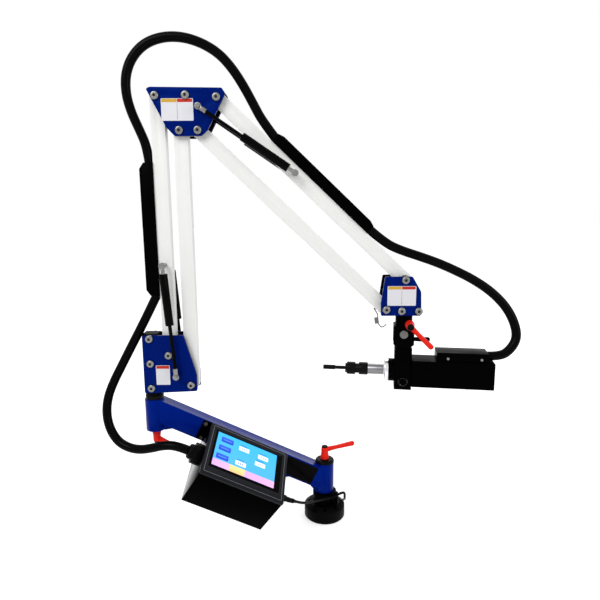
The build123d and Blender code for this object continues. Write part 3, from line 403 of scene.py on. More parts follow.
# The three open stretches of the hose. Each is cut where it passes from body to body: both bodies, then the
# share of the route where the piece ends.
hoseSizes = {"diameter": 20.0}
hoses = {
    "lower_hose": {
        "route": [
            (-304.35, -143.07, 239.50),
            (-330, -142, 250), (-360, -139, 249), (-388, -134, 240), (-416, -127, 233), (-444, -119, 234),
            (-471, -111, 246), (-490, -103, 273), (-498, -96, 306), (-495, -89, 342), (-481, -82, 378),
            (-461, -77, 416), (-441, -74, 454), (-418, -71, 496), (-396, -70, 537), (-377.28, armY, 573.02)],
        "stretches": [("swing_arm", "column", 0.5), ("column", "lower_main_bar", 1.0)]},
    "top_hose": {
        "route": [
            (-379.17, armY, 858.01),
            (-383, -70, 893), (-397, -70, 927), (-412, -70, 962), (-421, -70, 998), (-420, -70, 1036),
            (-405, -70, 1071), (-376, -70, 1098), (-337, -70, 1110), (-297, -70, 1109), (-258, -70, 1097),
            (-223, -70, 1076), (-196, -70, 1046), (-174, -70, 1012), (-155, -70, 977), (-137, -70, 943),
            (-109.23, armY, 907.54)],
        "stretches": [("lower_main_bar", "elbow", 0.5), ("elbow", "upper_main_bar", 1.0)]},
    "head_hose": {
        "route": [
            (92.98, armY, 715.32),
            (127, -70, 686), (163, -70, 670), (203, -70, 657), (243, -71, 643), (282, -72, 626),
            (322, -74, 606), (361, -77, 580), (393, -81, 548), (412, -86, 513), (418, -92, 480),
            (403, -98, 455), (380.63, -99.37, 439.33), (352.91, -95.48, 439.33)],
        "stretches": [("upper_main_bar", "end_bracket", 0.25), ("end_bracket", "swivel_block", 0.57),
                      ("swivel_block", "tapping_head", 1.0)]},
}

# The power cord runs from the control box to the base and ends in a put-away coil.
cordRoute = [
    (-83.07, -162.85, 133.60),
    (-70, -152, 124), (-54, -132, 108), (-38, -104, 93), (-22, -78, 81), (-6, -58, 73), (11, -47, 70),
    (27, -43, 75), (39, -40, 80), (48, -33, 77), (49, -24, 61), (50, -9, 47), (53, 11, 35), (52, 32, 20),
    (44, 49, 8), (29, 65, 3.3), (13, 82, 3), (5, 107, 3), (2, 134, 3), (-7, 160, 3), (-27, 180, 3),
    (-57, 190, 3), (-92, 189, 3), (-124, 178, 3), (-150, 164, 3), (-178.02, 156.22, 3), (-208, 155, 3),
]
coil = {"centre": (-208.0, 118.0), "outer": 37.0, "inner": 21.0, "turns": 2.0, "climb": 0.5, "start": 90.0,
        "layer": 6.6, "cord": 6.0, "tail": 32.0, "perTurn": 16}


def makeHoses():
    radius = hoseSizes["diameter"] / 2 * mm
    for node, hose in hoses.items():
        line = routeLine(node + "Line", hose["route"])
        last = len(line) - 1
        first = 0
        for number, (bodyA, bodyB, share) in enumerate(hose["stretches"], 1):
            stop = round(last * share)
            part = line[first:stop + 1]
            name = f"{camelName(node)}{number}"
            piece = addPiece(name, tubeMesh(name, part, [radius] * len(part)))
            piece.data.materials.append(finishes["blackHose"])
            piece.data.shade_smooth()
            piece.data.set_sharp_from_angle(angle=radians(50))
            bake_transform(piece)
            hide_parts(node)
            first = stop


# A spiral in on the floor, a climb of one layer, and a spiral out on top
def coilPoint(turns):
    outer, inner, wound = coil["outer"], coil["inner"], coil["turns"]
    if turns <= wound:
        radius, lift = outer + (inner - outer) * turns / wound, 0.0
    elif turns <= wound + coil["climb"]:
        share = (turns - wound) / coil["climb"]
        radius, lift = inner, coil["layer"] * share * share * (3 - 2 * share)
    else:
        radius, lift = inner + (outer - inner) * (turns - wound - coil["climb"]) / wound, coil["layer"]
    angle = radians(coil["start"]) + 2 * pi * turns
    x, y = coil["centre"]
    return (x + radius * cos(angle), y + radius * sin(angle), coil["cord"] / 2 + lift)


def makePowerCord():
    radius = coil["cord"] / 2 * mm
    line = routeLine("powerCordLine", cordRoute)
    piece = addPiece("powerCord", tubeMesh("powerCord", line, [radius] * len(line), sides=16))
    piece.data.materials.append(finishes["blackHose"])
    piece.data.shade_smooth()
    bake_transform(piece)
    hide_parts("power_cord")

    total = 2 * coil["turns"] + coil["climb"]
    count = round(total * coil["perTurn"])
    route = [coilPoint(total * i / count) for i in range(count + 1)]
    heading = (Vector(route[-1]) - Vector(coilPoint(total - 0.002))).normalized()
    for share in (0.3, 0.65, 1.0):
        route.append(tuple(Vector(route[count]) + heading * coil["tail"] * share))
    line = routeLine("coilLine", route, steps=6)
    piece = addPiece("cordCoil", tubeMesh("cordCoil", line, [radius] * len(line), sides=14))
    plug = makePlug(Vector(route[-1]) * mm, heading)
    finishPiece(piece, "base", "blackHose", ["cord_coil"], sharp=50)


# Softened copies of the frame's plates, tubes and housings. weld is in metres, and the angles in degrees.
softening = {"weld": 2e-6, "flat": 0.5, "cornerSegments": 6, "edgeAngle": 32, "edgeSegments": 3}
plateCorner = {"radius": 2.6, "shortest": 4.0, "upright": 0.999, "turn": 20.0}
plateNodes = ("lower_plates", "middle_plates", "end_plates")


def softForm(node, body, finish, width, corner=0.0):
    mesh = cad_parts[node].data.copy()
    tool = bmesh.new()
    tool.from_mesh(mesh)
    bmesh.ops.remove_doubles(tool, verts=tool.verts, dist=softening["weld"])
    bmesh.ops.dissolve_limit(tool, angle_limit=radians(softening["flat"]), verts=tool.verts, edges=tool.edges)
    for face in tool.faces:
        face.material_index = 0
    if corner:
        edges = [edge for edge in tool.edges if isPlateCorner(edge)]
        bmesh.ops.bevel(tool, geom=edges, offset=corner * mm, segments=softening["cornerSegments"],
                        profile=0.5, affect="EDGES", clamp_overlap=True)
    mesh.materials.clear()
    mesh.materials.append(finishes[finish])
    tool.to_mesh(mesh)
    tool.free()
    piece = addPiece(camelName(node) + "Form", mesh)
    if width:
        edge = piece.modifiers.new("softEdge", "BEVEL")
        edge.width = width * mm
        edge.segments = softening["edgeSegments"]
        edge.limit_method = "ANGLE"
        edge.angle_limit = radians(softening["edgeAngle"])
    bake(piece)
    return finishPiece(piece, body, finish, [node])


def isPlateCorner(edge):
    a, b = edge.verts
    way = b.co - a.co
    upright = way.length > plateCorner["shortest"] * mm and abs(way.y) > plateCorner["upright"] * way.length
    return upright and len(edge.link_faces) == 2 and edge.calc_face_angle() > radians(plateCorner["turn"])


def paintWhere(piece, finish, test):
    piece.data.materials.append(finishes[finish])
    number = len(piece.data.materials) - 1
    for face in piece.data.polygons:
        if test(face.center):
            face.material_index = number


# By body and node: the finish and the width of the soft edge
softNodes = {
    "base": {"base_flange": ("blackCast", 1.2), "base_collar": ("blackPaint", 0.8),
             "stop_peg": ("blackPaint", 0.8)},
    "swing_arm": {
        "swing_tube": ("tubeBlue", 1.6), "base_boss": ("tubeBlue", 1.4), "column_boss": ("tubeBlue", 1.4),
        "boss_cap": ("blackPlastic", 0.4), "box_bracket": ("blackPaint", 0.4), "box_shell": ("boxPaint", 1.0),
        "screen_bezel": ("greyPlastic", 0.5), "hose_gland": ("blackPlastic", 0.5),
        "power_gland": ("blackPlastic", 0.4)},
    "column": {"thrust_bearing": ("darkSteel", 0.5), "column_block": ("blackCast", 0.8),
               "lower_plates": ("bluePaint", 0.7)},
    "lower_main_bar": {"lower_bar_outer": ("whitePaint", 1.0), "lower_trunk": ("blackPaint", 0.9)},
    "lower_second_bar": {"lower_bar_inner": ("whitePaint", 1.0)},
    "elbow": {"middle_plates": ("bluePaint", 0.7)},
    "upper_main_bar": {"upper_bar_outer": ("whitePaint", 1.0), "upper_trunk": ("blackPaint", 0.9)},
    "upper_second_bar": {"upper_bar_inner": ("whitePaint", 1.0)},
    "end_bracket": {"end_plates": ("bluePaint", 0.7), "swivel_post": ("blackPaint", 0.7)},
    "swivel_block": {"clamp_block": ("blackPaint", 0.9), "pivot_bolt": ("hookSteel", 0.5)},
    "tapping_head": {"head_plate": ("blackPaint", 0.9), "bearing_flange": ("blackPaint", 0.6),
                     "motor_body": ("blackPaint", 0.9), "terminal_box": ("blackPaint", 0.8)},
    "spindle": {"lock_ring": ("brightRing", 0.5), "spindle_shaft": ("spindleSteel", 0.3),
                "chuck_body": ("darkSteel", 0.6)},
    "chuck_release": {"chuck_sleeve": ("darkSteel", 0.6)},
}
plainNodes = {
    "base_post": "steel", "arm_bushes": "bushBronze", "box_screws": "steel", "screen_panel": "labelBlack",
    "servo_drive": "driveGrey", "column_shaft": "steel", "lower_bolts": "steel", "middle_bolts": "steel",
    "end_bolts": "steel", "cable_hook": "hookSteel", "tap": "darkSteel",
}

# Where a second finish or painted shade starts: the studs on the bars and the plates' inner faces, measured
# from the arms' plane, the screws of the terminal box, measured from the swivel axis, and the plug's pins,
# measured from the cord's end. The plates' inner faces get painted shade: black for the shadow between the
# plates.
secondFinishAndShade = {"barStuds": 11, "plateInsideShade": 17.5, "slack": 0.1, "boxScrews": -25.1, "plugPins": 44.5}
faceRing = {"level": 378.83, "inner": 7.6, "outer": 10.4, "face": 22.0, "low": 0.2, "high": 1.8}
springEnds = {
    "lower_rods": ("lower_spring_rods", (-333.00, 394.98)),
    "upper_rods": ("upper_spring_rods", (-263.75, 965.87)),
    "lower_cylinders": ("lower_spring_cylinders", (-352.73, 641.08)),
    "upper_cylinders": ("upper_spring_cylinders", (-67.46, 833.34)),
}
springEye = 20.0


def makeForms():
    forms = {}
    for body, nodes in softNodes.items():
        for node, (finish, width) in nodes.items():
            corner = plateCorner["radius"] if node in plateNodes else 0.0
            forms[node] = softForm(node, body, finish, width, corner)
    for node in ("lower_bar_outer", "upper_bar_outer"):
        paintWhere(forms[node], "steel", lambda at: abs(at.y / mm - armY) > secondFinishAndShade["barStuds"])
    paintWhere(forms["terminal_box"], "steel", lambda at: headDepth(at) < secondFinishAndShade["boxScrews"])
    # The plates' inner faces are painted black as painted shade, for the shadow that falls between the two
    # plates of each pair
    for node in plateNodes:
        paintWhere(forms[node], "blackPaint", isShadedPlateInside)
    paintWhere(forms["head_plate"], "lineGrey", inFaceRing)
    for body, (node, (x, z)) in springEnds.items():
        form = softForm(node, body, "blackGloss", 0.4)
        paintWhere(form, "steel", lambda at: (Vector((x, z)) - Vector((at.x, at.z)) / mm).length < springEye)
    for node, finish in plainNodes.items():
        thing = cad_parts[node]
        if not thing.material_slots:
            thing.data.materials.append(finishes[finish])
        for holder in thing.material_slots:
            holder.material = finishes[finish]


# The faces that get the painted shade: the plates' inner faces, which face the gap between each pair
def isShadedPlateInside(at):
    return abs(abs(at.y / mm - armY) - secondFinishAndShade["plateInsideShade"]) < secondFinishAndShade["slack"]


def inFaceRing(at):
    along = (at / mm - headPoint(0, 0, 0)).dot(headAlong)
    reach = hypot(along, at.z / mm - faceRing["level"])
    front = headDepth(at) + faceRing["face"]
    return faceRing["inner"] < reach < faceRing["outer"] and faceRing["low"] < front < faceRing["high"]


def headDepth(at):
    return (at / mm - headPoint(0, 0, 0)).dot(headAcross)


def makePlug(end, heading):
    piece = softForm("power_plug", "base", "blackPlastic", 0.8)
    paintWhere(piece, "steel", lambda at: (at - end).dot(heading) > secondFinishAndShade["plugPins"] * mm)
    return piece


makeHoses()
makePowerCord()
print("hose and cord made")
makeForms()
print("frame nodes finished")


# Clamp levers: hub and handle in one skin, with a cap on top and a stud below
leverSizes = {"hub": 10.5, "hubTop": 8.5, "height": 30.0, "stud": 8.0, "cap": 7.5, "capTop": 6.5,
              "capHeight": 3.0, "root": 6.6, "rootDrop": 7.5, "waist": 4.9, "waistAt": 0.4, "tip": 6.0,
              "steps": 24, "tipSteps": 6, "voxel": 0.8}
headLeverLean = radians(-44)
levers = {
    "base_lever": {"body": "base_clamp", "finish": "redPlastic", "base": Vector((0, 0, 150.3)),
                   "up": Vector((0, 0, 1)), "arm": Vector((1, 0, 0)), "reach": 68.0, "rise": 17.0,
                   "stud": 20.0},
    "column_lever": {"body": "column_clamp", "finish": "redPlastic", "base": Vector((-393.8, armY, 258.68)),
                     "up": Vector((0, 0, -1)), "arm": Vector((1, 0, 0)), "reach": 62.0, "rise": 30.0,
                     "stud": 19.0},
    "head_lever": {"body": "swivel_clamp", "finish": "redPlastic", "base": headPoint(12.0, -22.3, 509.73),
                   "up": -headAcross,
                   "arm": headAlong * cos(headLeverLean) + Vector((0, 0, sin(headLeverLean))),
                   "reach": 62.0, "rise": 0.0, "stud": 12.0},
    "tilt_lever": {"body": "tilt_clamp", "finish": "blackGloss", "base": headPoint(0.0, 22.3, 461.33),
                   "up": headAcross, "arm": headAlong, "reach": 58.0, "rise": 0.0, "stud": 8.0},
}


def joinMeshes(name, meshes):
    tool = bmesh.new()
    for mesh in meshes:
        tool.from_mesh(mesh)
    result = bpy.data.meshes.new(name)
    tool.to_mesh(result)
    tool.free()
    return result


# A turned shape from pairs of radius and level above the base
def turnedMesh(name, base, up, profile, sides=40):
    centres = [(base + up * level) * mm for radius, level in profile]
    side = up.orthogonal().normalized()
    other = up.cross(side)
    points = []
    for centre, (radius, level) in zip(centres, profile):
        for j in range(sides):
            angle = 2 * pi * j / sides
            points.append(centre + (side * cos(angle) + other * sin(angle)) * radius * mm)
    return skinRings(name, points, sides)


def makeLever(node, lever):
    size = leverSizes
    base, up = lever["base"], lever["up"]
    name = camelName(node)
    hub = turnedMesh("hub", base, up, [
        (size["hub"] - 0.6, 0), (size["hub"], 0.6), (size["hub"] - 0.5, 9), (size["hubTop"], 17),
        (size["hubTop"] + 0.4, 24), (size["hubTop"] - 0.3, 29), (size["hubTop"] - 1.2, size["height"])])
    root = base + up * (size["height"] - size["rootDrop"])
    tip = root + lever["arm"] * lever["reach"] + up * lever["rise"]
    centres, radii = [], []
    for i in range(size["steps"] + 1):
        share = i / size["steps"]
        centres.append((root + (tip - root) * share) * mm)
        waist = size["root"] + (size["waist"] - size["root"]) * min(share / size["waistAt"], 1)
        beyond = (size["tip"] - size["waist"]) * max(share - size["waistAt"], 0) / (1 - size["waistAt"])
        radii.append((waist + beyond) * mm)
    ahead = (tip - root).normalized()
    for i in range(1, size["tipSteps"] + 1):
        angle = pi / 2 * i / size["tipSteps"]
        centres.append((tip + ahead * size["tip"] * sin(angle) * 0.9) * mm)
        radii.append(size["tip"] * max(cos(angle), 0.05) * mm)
    handle = tubeMesh("handle", centres, radii, sides=24)
    body = addPiece(name + "Body", joinMeshes(name, [hub, handle]))
    union = body.modifiers.new("oneSkin", "REMESH")
    union.mode = "VOXEL"
    union.voxel_size = size["voxel"] * mm
    smooth = body.modifiers.new("softSkin", "SMOOTH")
    smooth.factor = 0.5
    smooth.iterations = 5
    bake(body)
    finishPiece(body, lever["body"], lever["finish"], [node], sharp=60)
    cap = turnedMesh("cap", base, up, [
        (size["cap"], size["height"] - 0.8), (size["cap"], size["height"] + 0.6),
        (size["capTop"] + 0.4, size["height"] + size["capHeight"] - 0.7),
        (size["capTop"] - 0.8, size["height"] + size["capHeight"])])
    finishPiece(addPiece(name + "Cap", cap), lever["body"], "blackPlastic", sharp=30)
    stud = turnedMesh("stud", base, up, [
        (size["stud"] / 2 - 0.6, -lever["stud"]), (size["stud"] / 2, -lever["stud"] + 0.8),
        (size["stud"] / 2, 1)], sides=24)
    finishPiece(addPiece(name + "Stud", stud), lever["body"], "steel")


for node, lever in levers.items():
    makeLever(node, lever)
print("levers made")


# The control screen: thin patches in up to three layers, placed from the middle of the box's face
boxCentre = Vector((-175.29, -146.40, 214.30))
boxUp = Vector((0.0364, 0.92706, 0.37315))
boxOut = Vector((0.49301, -0.34145, 0.80022))
screen = {
    "bodyLine": (180.0, 125.0, 0.9), "lineSink": 0.02, "lineThick": 0.25,
    "glass": (147.0, 91.0), "centre": (-3.9, 5.8), "level": -0.95, "thick": 0.12, "layer": 0.13,
    "buttons": [(-49, 29), (-51.5, 5.5), (-53.5, -18)], "buttonSize": (29.0, 14.0), "buttonCorner": 2,
    "buttonLine": {"shorter": 10, "height": 1.4},
    "fields": [(-7.3, 23.7), (40.5, 21.6), (35.3, 0.7), (-9.7, -17.2)], "fieldSize": (25.0, 11.0),
    "fieldCorner": 1, "digits": (-5, 0, 5), "digitSize": (2.0, 4.6), "digitCorner": 0.6,
    "caption": {"left": 2, "above": 9.5, "shorter": 8, "height": 1.5},
    "bands": {"Left": (-53.3, 40.4, "screenPink"), "Middle": (-15, 36, "screenAmber"),
              "Right": (38.2, 70.6, "screenPink")},
    "bandLevel": -37.0, "bandHeight": 17.0,
}


def slabMesh(name, centre, along, up, out, width, height, thick, corner=0.0):
    half = (width / 2, height / 2)
    outline = []
    steps = 4 if corner else 0
    for cx, cy, start in ((1, 1, 0), (-1, 1, 90), (-1, -1, 180), (1, -1, 270)):
        for i in range(steps + 1):
            angle = radians(start + 90 * i / max(steps, 1))
            x = cx * (half[0] - corner) + corner * cos(angle)
            y = cy * (half[1] - corner) + corner * sin(angle)
            outline.append((x, y))
    count = len(outline)
    points = [(centre + along * x + up * y + out * z) * mm for z in (0, thick) for x, y in outline]
    faces = [tuple(reversed(range(count))), tuple(range(count, 2 * count))]
    for i in range(count):
        j = (i + 1) % count
        faces.append((i, j, j + count, i + count))
    mesh = bpy.data.meshes.new(name)
    mesh.from_pydata(points, [], faces)
    layer = mesh.uv_layers.new(name="UVMap")
    for loop in mesh.loops:
        x, y = outline[loop.vertex_index % count]
        layer.data[loop.index].uv = (x / width + 0.5, y / height + 0.5)
    mesh.update()
    return mesh


def makeGlowFinish(name, low, high, axis):
    material = bpy.data.materials.new(name)
    material.use_nodes = True
    tree = material.node_tree
    shader = tree.nodes["Principled BSDF"]
    place = tree.nodes.new("ShaderNodeUVMap")
    split = tree.nodes.new("ShaderNodeSeparateXYZ")
    mix = tree.nodes.new("ShaderNodeMix")
    mix.data_type = "RGBA"
    mix.inputs["A"].default_value = (*low, 1)
    mix.inputs["B"].default_value = (*high, 1)
    tree.links.new(place.outputs[0], split.inputs[0])
    tree.links.new(split.outputs[axis], mix.inputs["Factor"])
    tree.links.new(mix.outputs["Result"], shader.inputs["Base Color"])
    tree.links.new(mix.outputs["Result"], shader.inputs["Emission Color"])
    shader.inputs["Emission Strength"].default_value = screenGlow["strength"]
    shader.inputs["Roughness"].default_value = screenGlow["rough"]
    return material


screenGlow = {"strength": 0.55, "rough": 0.18}
screenLooks = {
    "screenSky": ((0.07, 0.40, 0.86), (0.02, 0.42, 0.80), "Y"),
    "screenButton": ((0.0, 0.03, 0.52), (0.02, 0.10, 0.75), "Y"),
    "screenField": ((0.80, 0.84, 0.92), (0.92, 0.94, 1.0), "Y"),
    "screenPink": ((0.62, 0.36, 0.86), (0.80, 0.42, 0.70), "X"),
    "screenAmber": ((0.85, 0.50, 0.20), (0.90, 0.68, 0.25), "Y"),
    "screenText": ((0.01, 0.10, 0.55), (0.02, 0.16, 0.62), "Y"),
}


def makeScreen():
    for name, (low, high, axis) in screenLooks.items():
        finishes[name] = makeGlowFinish(name, low, high, axis)
    cx, cy = screen["centre"]
    width, height = screen["glass"]
    bar, caption = screen["buttonLine"], screen["caption"]

    def patch(name, x, y, w, h, finish, layer, corner=0.0):
        lift = screen["level"] + screen["layer"] * layer
        at = boxCentre + tubeAlong * (cx + x) + boxUp * (cy + y) + boxOut * lift
        mesh = slabMesh(name, at, tubeAlong, boxUp, boxOut, w, h, screen["thick"], corner)
        finishPiece(addPiece(name, mesh), "swing_arm", finish)

    patch("screenSky", 0, 0, width, height, "screenSky", 0)
    for name, (x, w, finish) in screen["bands"].items():
        patch("screenBand" + name, x, screen["bandLevel"], w, screen["bandHeight"], finish, 1)
    w, h = screen["buttonSize"]
    for i, (x, y) in enumerate(screen["buttons"], 1):
        patch(f"screenButton{i}", x, y, w, h, "screenButton", 1, screen["buttonCorner"])
        patch(f"screenButtonLine{i}", x, y, w - bar["shorter"], bar["height"], "screenSky", 2)
    w, h = screen["fieldSize"]
    for i, (x, y) in enumerate(screen["fields"], 1):
        patch(f"screenField{i}", x, y, w, h, "screenField", 1, screen["fieldCorner"])
        for j, offset in enumerate(screen["digits"], 1):
            patch(f"screenDigit{i}{j}", x + offset, y, *screen["digitSize"], "screenText", 2,
                  screen["digitCorner"])
        patch(f"screenCaption{i}", x - caption["left"], y + caption["above"], w - caption["shorter"],
              caption["height"], "screenText", 1)
    lineW, lineH, lineT = screen["bodyLine"]
    for name, x, y, w, h in (
            ("Top", 0, lineH / 2, lineW, lineT), ("Bottom", 0, -lineH / 2, lineW, lineT),
            ("Left", -lineW / 2, 0, lineT, lineH), ("Right", lineW / 2, 0, lineT, lineH)):
        at = boxCentre + tubeAlong * x + boxUp * y - boxOut * screen["lineSink"]
        mesh = slabMesh("bezelLine" + name, at, tubeAlong, boxUp, boxOut, w, h, screen["lineThick"])
        finishPiece(addPiece("bezelLine" + name, mesh), "swing_arm", "lineGrey")


makeScreen()
print("screen made")


# What repeats is grown with Geometry Nodes and baked: the screws' sockets, ribs and rings
def startTree(name, inputs):
    tree = bpy.data.node_groups.new(name, "GeometryNodeTree")
    tree.interface.new_socket(name="Geometry", in_out="INPUT", socket_type="NodeSocketGeometry")
    for socketName, kind in inputs:
        tree.interface.new_socket(name=socketName, in_out="INPUT", socket_type=f"NodeSocket{kind}")
    tree.interface.new_socket(name="Geometry", in_out="OUTPUT", socket_type="NodeSocketGeometry")
    start = tree.nodes.new("NodeGroupInput")
    spread = tree.nodes.new("GeometryNodeInstanceOnPoints")
    real = tree.nodes.new("GeometryNodeRealizeInstances")
    paint = tree.nodes.new("GeometryNodeSetMaterial")
    end = tree.nodes.new("NodeGroupOutput")
    tree.links.new(spread.outputs["Instances"], real.inputs["Geometry"])
    tree.links.new(real.outputs["Geometry"], paint.inputs["Geometry"])
    tree.links.new(start.outputs["Finish"], paint.inputs["Material"])
    tree.links.new(paint.outputs["Geometry"], end.inputs["Geometry"])
    return tree, start, spread


def makeSocketTree():
    tree, start, spread = startTree("screwSockets", [
        ("Radius", "Float"), ("Depth", "Float"), ("Finish", "Material")])
    prism = tree.nodes.new("GeometryNodeMeshCylinder")
    prism.inputs["Vertices"].default_value = 6
    tree.links.new(start.outputs["Radius"], prism.inputs["Radius"])
    tree.links.new(start.outputs["Depth"], prism.inputs["Depth"])
    tree.links.new(start.outputs["Geometry"], spread.inputs["Points"])
    tree.links.new(prism.outputs["Mesh"], spread.inputs["Instance"])
    spread.inputs["Rotation"].default_value = (pi / 2, 0, 0)
    return tree


def makeRibTree():
    tree, start, spread = startTree("ribRing", [
        ("Count", "Int"), ("Radius", "Float"), ("Rib Size", "Vector"), ("Finish", "Material")])
    circle = tree.nodes.new("GeometryNodeMeshCircle")
    rib = tree.nodes.new("GeometryNodeMeshCube")
    place = tree.nodes.new("GeometryNodeInputPosition")
    turn = tree.nodes.new("FunctionNodeAlignRotationToVector")
    turn.axis = "X"
    tree.links.new(start.outputs["Count"], circle.inputs["Vertices"])
    tree.links.new(start.outputs["Radius"], circle.inputs["Radius"])
    tree.links.new(start.outputs["Rib Size"], rib.inputs["Size"])
    tree.links.new(place.outputs["Position"], turn.inputs["Vector"])
    tree.links.new(turn.outputs["Rotation"], spread.inputs["Rotation"])
    tree.links.new(circle.outputs["Mesh"], spread.inputs["Points"])
    tree.links.new(rib.outputs["Mesh"], spread.inputs["Instance"])
    return tree


def makeRingTree():
    tree, start, spread = startTree("ringRow", [
        ("Count", "Int"), ("Step", "Float"), ("Radius", "Float"), ("Thickness", "Float"),
        ("Finish", "Material")])
    row = tree.nodes.new("GeometryNodeMeshLine")
    offset = tree.nodes.new("ShaderNodeCombineXYZ")
    ring = tree.nodes.new("GeometryNodeCurvePrimitiveCircle")
    ring.inputs["Resolution"].default_value = 32
    profile = tree.nodes.new("GeometryNodeCurvePrimitiveCircle")
    profile.inputs["Resolution"].default_value = 8
    tube = tree.nodes.new("GeometryNodeCurveToMesh")
    tree.links.new(start.outputs["Count"], row.inputs["Count"])
    tree.links.new(start.outputs["Step"], offset.inputs["Z"])
    tree.links.new(offset.outputs[0], row.inputs["Offset"])
    tree.links.new(start.outputs["Radius"], ring.inputs["Radius"])
    tree.links.new(start.outputs["Thickness"], profile.inputs["Radius"])
    tree.links.new(ring.outputs["Curve"], tube.inputs["Curve"])
    tree.links.new(profile.outputs["Curve"], tube.inputs["Profile Curve"])
    tree.links.new(row.outputs["Mesh"], spread.inputs["Points"])
    tree.links.new(tube.outputs["Mesh"], spread.inputs["Instance"])
    return tree


def growPiece(name, tree, values, body, finish, points=(), place=None):
    mesh = bpy.data.meshes.new(name)
    mesh.from_pydata([point * mm for point in points] or [Vector((0, 0, 0))], [], [])
    piece = addPiece(name, mesh)
    grow = piece.modifiers.new("grow", "NODES")
    grow.node_group = tree
    sockets = {item.name: item.identifier for item in tree.interface.items_tree if item.in_out == "INPUT"}
    for key, value in values.items():
        grow[sockets[key]] = value
    grow[sockets["Finish"]] = finishes[finish]
    bake(piece)
    if place:
        piece.data.transform(place)
    finishPiece(piece, body, finish)


def standing(centre, axis):
    return Matrix.Translation(centre * mm) @ axis.to_track_quat("Z", "Y").to_matrix().to_4x4()


socketTree, ribTree, ringTree = makeSocketTree(), makeRibTree(), makeRingTree()

# Each socket is a dark prism on the floor of the hollow in a screw's head: painted shade in the hollow
screwSizes = {"radius": 3.3, "depth": 1.0, "head": 5.5, "hollow": 2.5, "lift": 0.55}
socketLevel = plateReach + screwSizes["head"] - screwSizes["hollow"] + screwSizes["lift"]
screwPlaces = {
    "column": [(-351.40, 440.18), (-303.70, 371.38), (-392.80, 477.68), (-392.80, 421.18), (-392.80, 364.18)],
    "elbow": [(-355.05, 990.17), (-307.35, 921.37), (-228.65, 986.57), (-268.95, 921.57), (-292.05, 990.67)],
    "end_bracket": [(169.98, 607.63), (129.68, 542.63), (162.98, 539.63), (199.98, 539.13)],
}
for body, places in screwPlaces.items():
    points = [Vector((x, armY + side * socketLevel, z)) for side in (-1, 1) for x, z in places]
    growPiece(camelName(body) + "Sockets", socketTree,
              {"Radius": screwSizes["radius"] * mm, "Depth": screwSizes["depth"] * mm}, body,
              "socketShade", points)

repeats = {
    "glandRibs": {"tree": ribTree, "body": "swing_arm", "finish": "blackPlastic",
                  "centre": Vector(hoses["lower_hose"]["route"][0]) + tubeAlong * 7.5, "axis": tubeAlong,
                  "values": {"Count": 18, "Radius": 15.8 * mm, "Rib Size": (1.4 * mm, 2.0 * mm, 6 * mm)}},
    "tapThread": {"tree": ringTree, "body": "spindle", "finish": "darkSteel",
                  "centre": headPoint(-178.5, 0, spindleLevel), "axis": headAlong,
                  "values": {"Count": 16, "Step": 1.5 * mm, "Radius": 4.9 * mm, "Thickness": 0.42 * mm}},
    "sleeveGrooves": {"tree": ringTree, "body": "chuck_release", "finish": "blackCast",
                      "centre": headPoint(-122.0, 0, spindleLevel), "axis": headAlong,
                      "values": {"Count": 5, "Step": 2.6 * mm, "Radius": 14.2 * mm, "Thickness": 0.28 * mm}},
    "ringTeeth": {"tree": ribTree, "body": "spindle", "finish": "brightRing",
                  "centre": headPoint(-35.5, 0, spindleLevel), "axis": headAlong,
                  "values": {"Count": 48, "Radius": 24.9 * mm, "Rib Size": (0.7 * mm, 1.2 * mm, 5 * mm)}},
}
for name, repeat in repeats.items():
    growPiece(name, repeat["tree"], repeat["values"], repeat["body"], repeat["finish"],
              place=standing(repeat["centre"], repeat["axis"]))


# The sleeve that guards the power cord where it leaves the box
relief = {"wide": 4.9, "narrow": 3.5, "length": 24.0, "sink": 2.0, "ringStart": 1.5,
          "rings": {"Count": 4, "Step": 3.4 * mm, "Radius": 4.5 * mm, "Thickness": 0.6 * mm}}


def makeCordRelief():
    start, ahead = Vector(cordRoute[0]), (Vector(cordRoute[1]) - Vector(cordRoute[0])).normalized()
    line = routeLine("reliefLine", cordRoute)
    part, run = [line[0] - ahead * relief["sink"] * mm, line[0]], 0.0
    for a, b in zip(line, line[1:]):
        run += (b - a).length
        if run > relief["length"] * mm:
            break
        part.append(b)
    last = len(part) - 1
    radii = [(relief["wide"] + (relief["narrow"] - relief["wide"]) * i / last) * mm for i in range(last + 1)]
    finishPiece(addPiece("cordRelief", tubeMesh("cordRelief", part, radii, sides=20)), "swing_arm",
                "blackPlastic", sharp=50)
    growPiece("reliefRings", ringTree, relief["rings"], "swing_arm", "blackPlastic",
              place=standing(start + ahead * relief["ringStart"], ahead))


makeCordRelief()
print("screw sockets, ribs and rings grown")


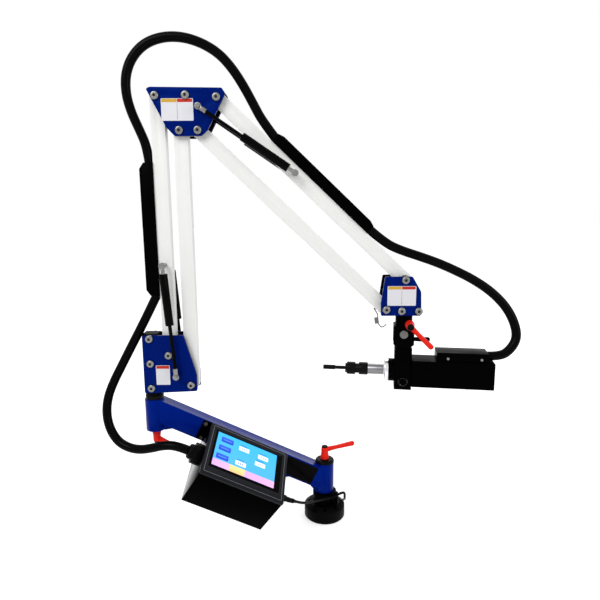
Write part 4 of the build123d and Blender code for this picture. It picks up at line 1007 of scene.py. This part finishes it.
# Bare label plates on the front of the arms' plates
across = Vector((0, -1, 0))
east = Vector((1, 0, 0))
north = Vector((0, 0, 1))
labelLook = {"thick": 0.15, "lift": 0.02, "corner": 1.5, "band": 0.15, "bandLift": 0.18, "rim": 0.8,
             "middle": 0.5, "halfShorter": 2.0, "wholeShorter": 2.4, "divider": 0.6, "dividerShorter": 5.0}
labels = {
    "middleLabel": {"body": "elbow", "centre": (-309.6, 962.3), "size": (66.4, 44.0), "split": True},
    "lowerLabel": {"body": "column", "centre": (-365.8, 394.7), "size": (31.0, 45.0), "split": False},
    "endLabel": {"body": "end_bracket", "centre": (162.3, 573.1), "size": (62.0, 43.0), "split": True},
}


def makeLabel(name, label):
    x, z = label["centre"]
    w, h = label["size"]
    body = label["body"]
    look = labelLook
    lift = look["bandLift"]
    band = look["band"] * h
    bandLevel = h / 2 - band / 2 - look["rim"]

    def sheet(suffix, dx, dz, sw, sh, finish, lift, corner=0.0):
        at = Vector((x + dx, armY - plateReach - lift, z + dz))
        mesh = slabMesh(name + suffix, at, east, north, across, sw, sh, look["thick"], corner)
        finishPiece(addPiece(name + suffix, mesh), body, finish)

    sheet("Sheet", 0, 0, w, h, "labelWhite", look["lift"], look["corner"])
    if label["split"]:
        half, shift = w / 2 - look["halfShorter"], w / 4 - look["middle"]
        sheet("BandLeft", -shift, bandLevel, half, band, "labelYellow", lift)
        sheet("BandRight", shift, bandLevel, half, band, "labelRed", lift)
        sheet("Divider", 0, -band / 2, look["divider"], h - band - look["dividerShorter"], "lineGrey", lift)
    else:
        sheet("Band", 0, bandLevel, w - look["wholeShorter"], band, "labelRed", lift)


for name, label in labels.items():
    makeLabel(name, label)

# The bare name plate on the side of the lower tube
tubeUp = Vector((0.46220, 0.08233, 0.88295))
tubeOut = Vector((0.17537, -0.98450, 0.0))
tubeStart = Vector((-393.80, -70.15, 311.98))
namePlate = {"along": 372, "out": 20.02, "size": (96, 44), "thick": 0.5, "corner": 2}
plateMiddle = tubeStart + tubeAlong * namePlate["along"] + tubeOut * namePlate["out"]
plateMesh = slabMesh("namePlate", plateMiddle, tubeAlong, tubeUp, tubeOut, *namePlate["size"],
                     namePlate["thick"], namePlate["corner"])
finishPiece(addPiece("namePlate", plateMesh), "swing_arm", "labelBlack")
print("plates made")
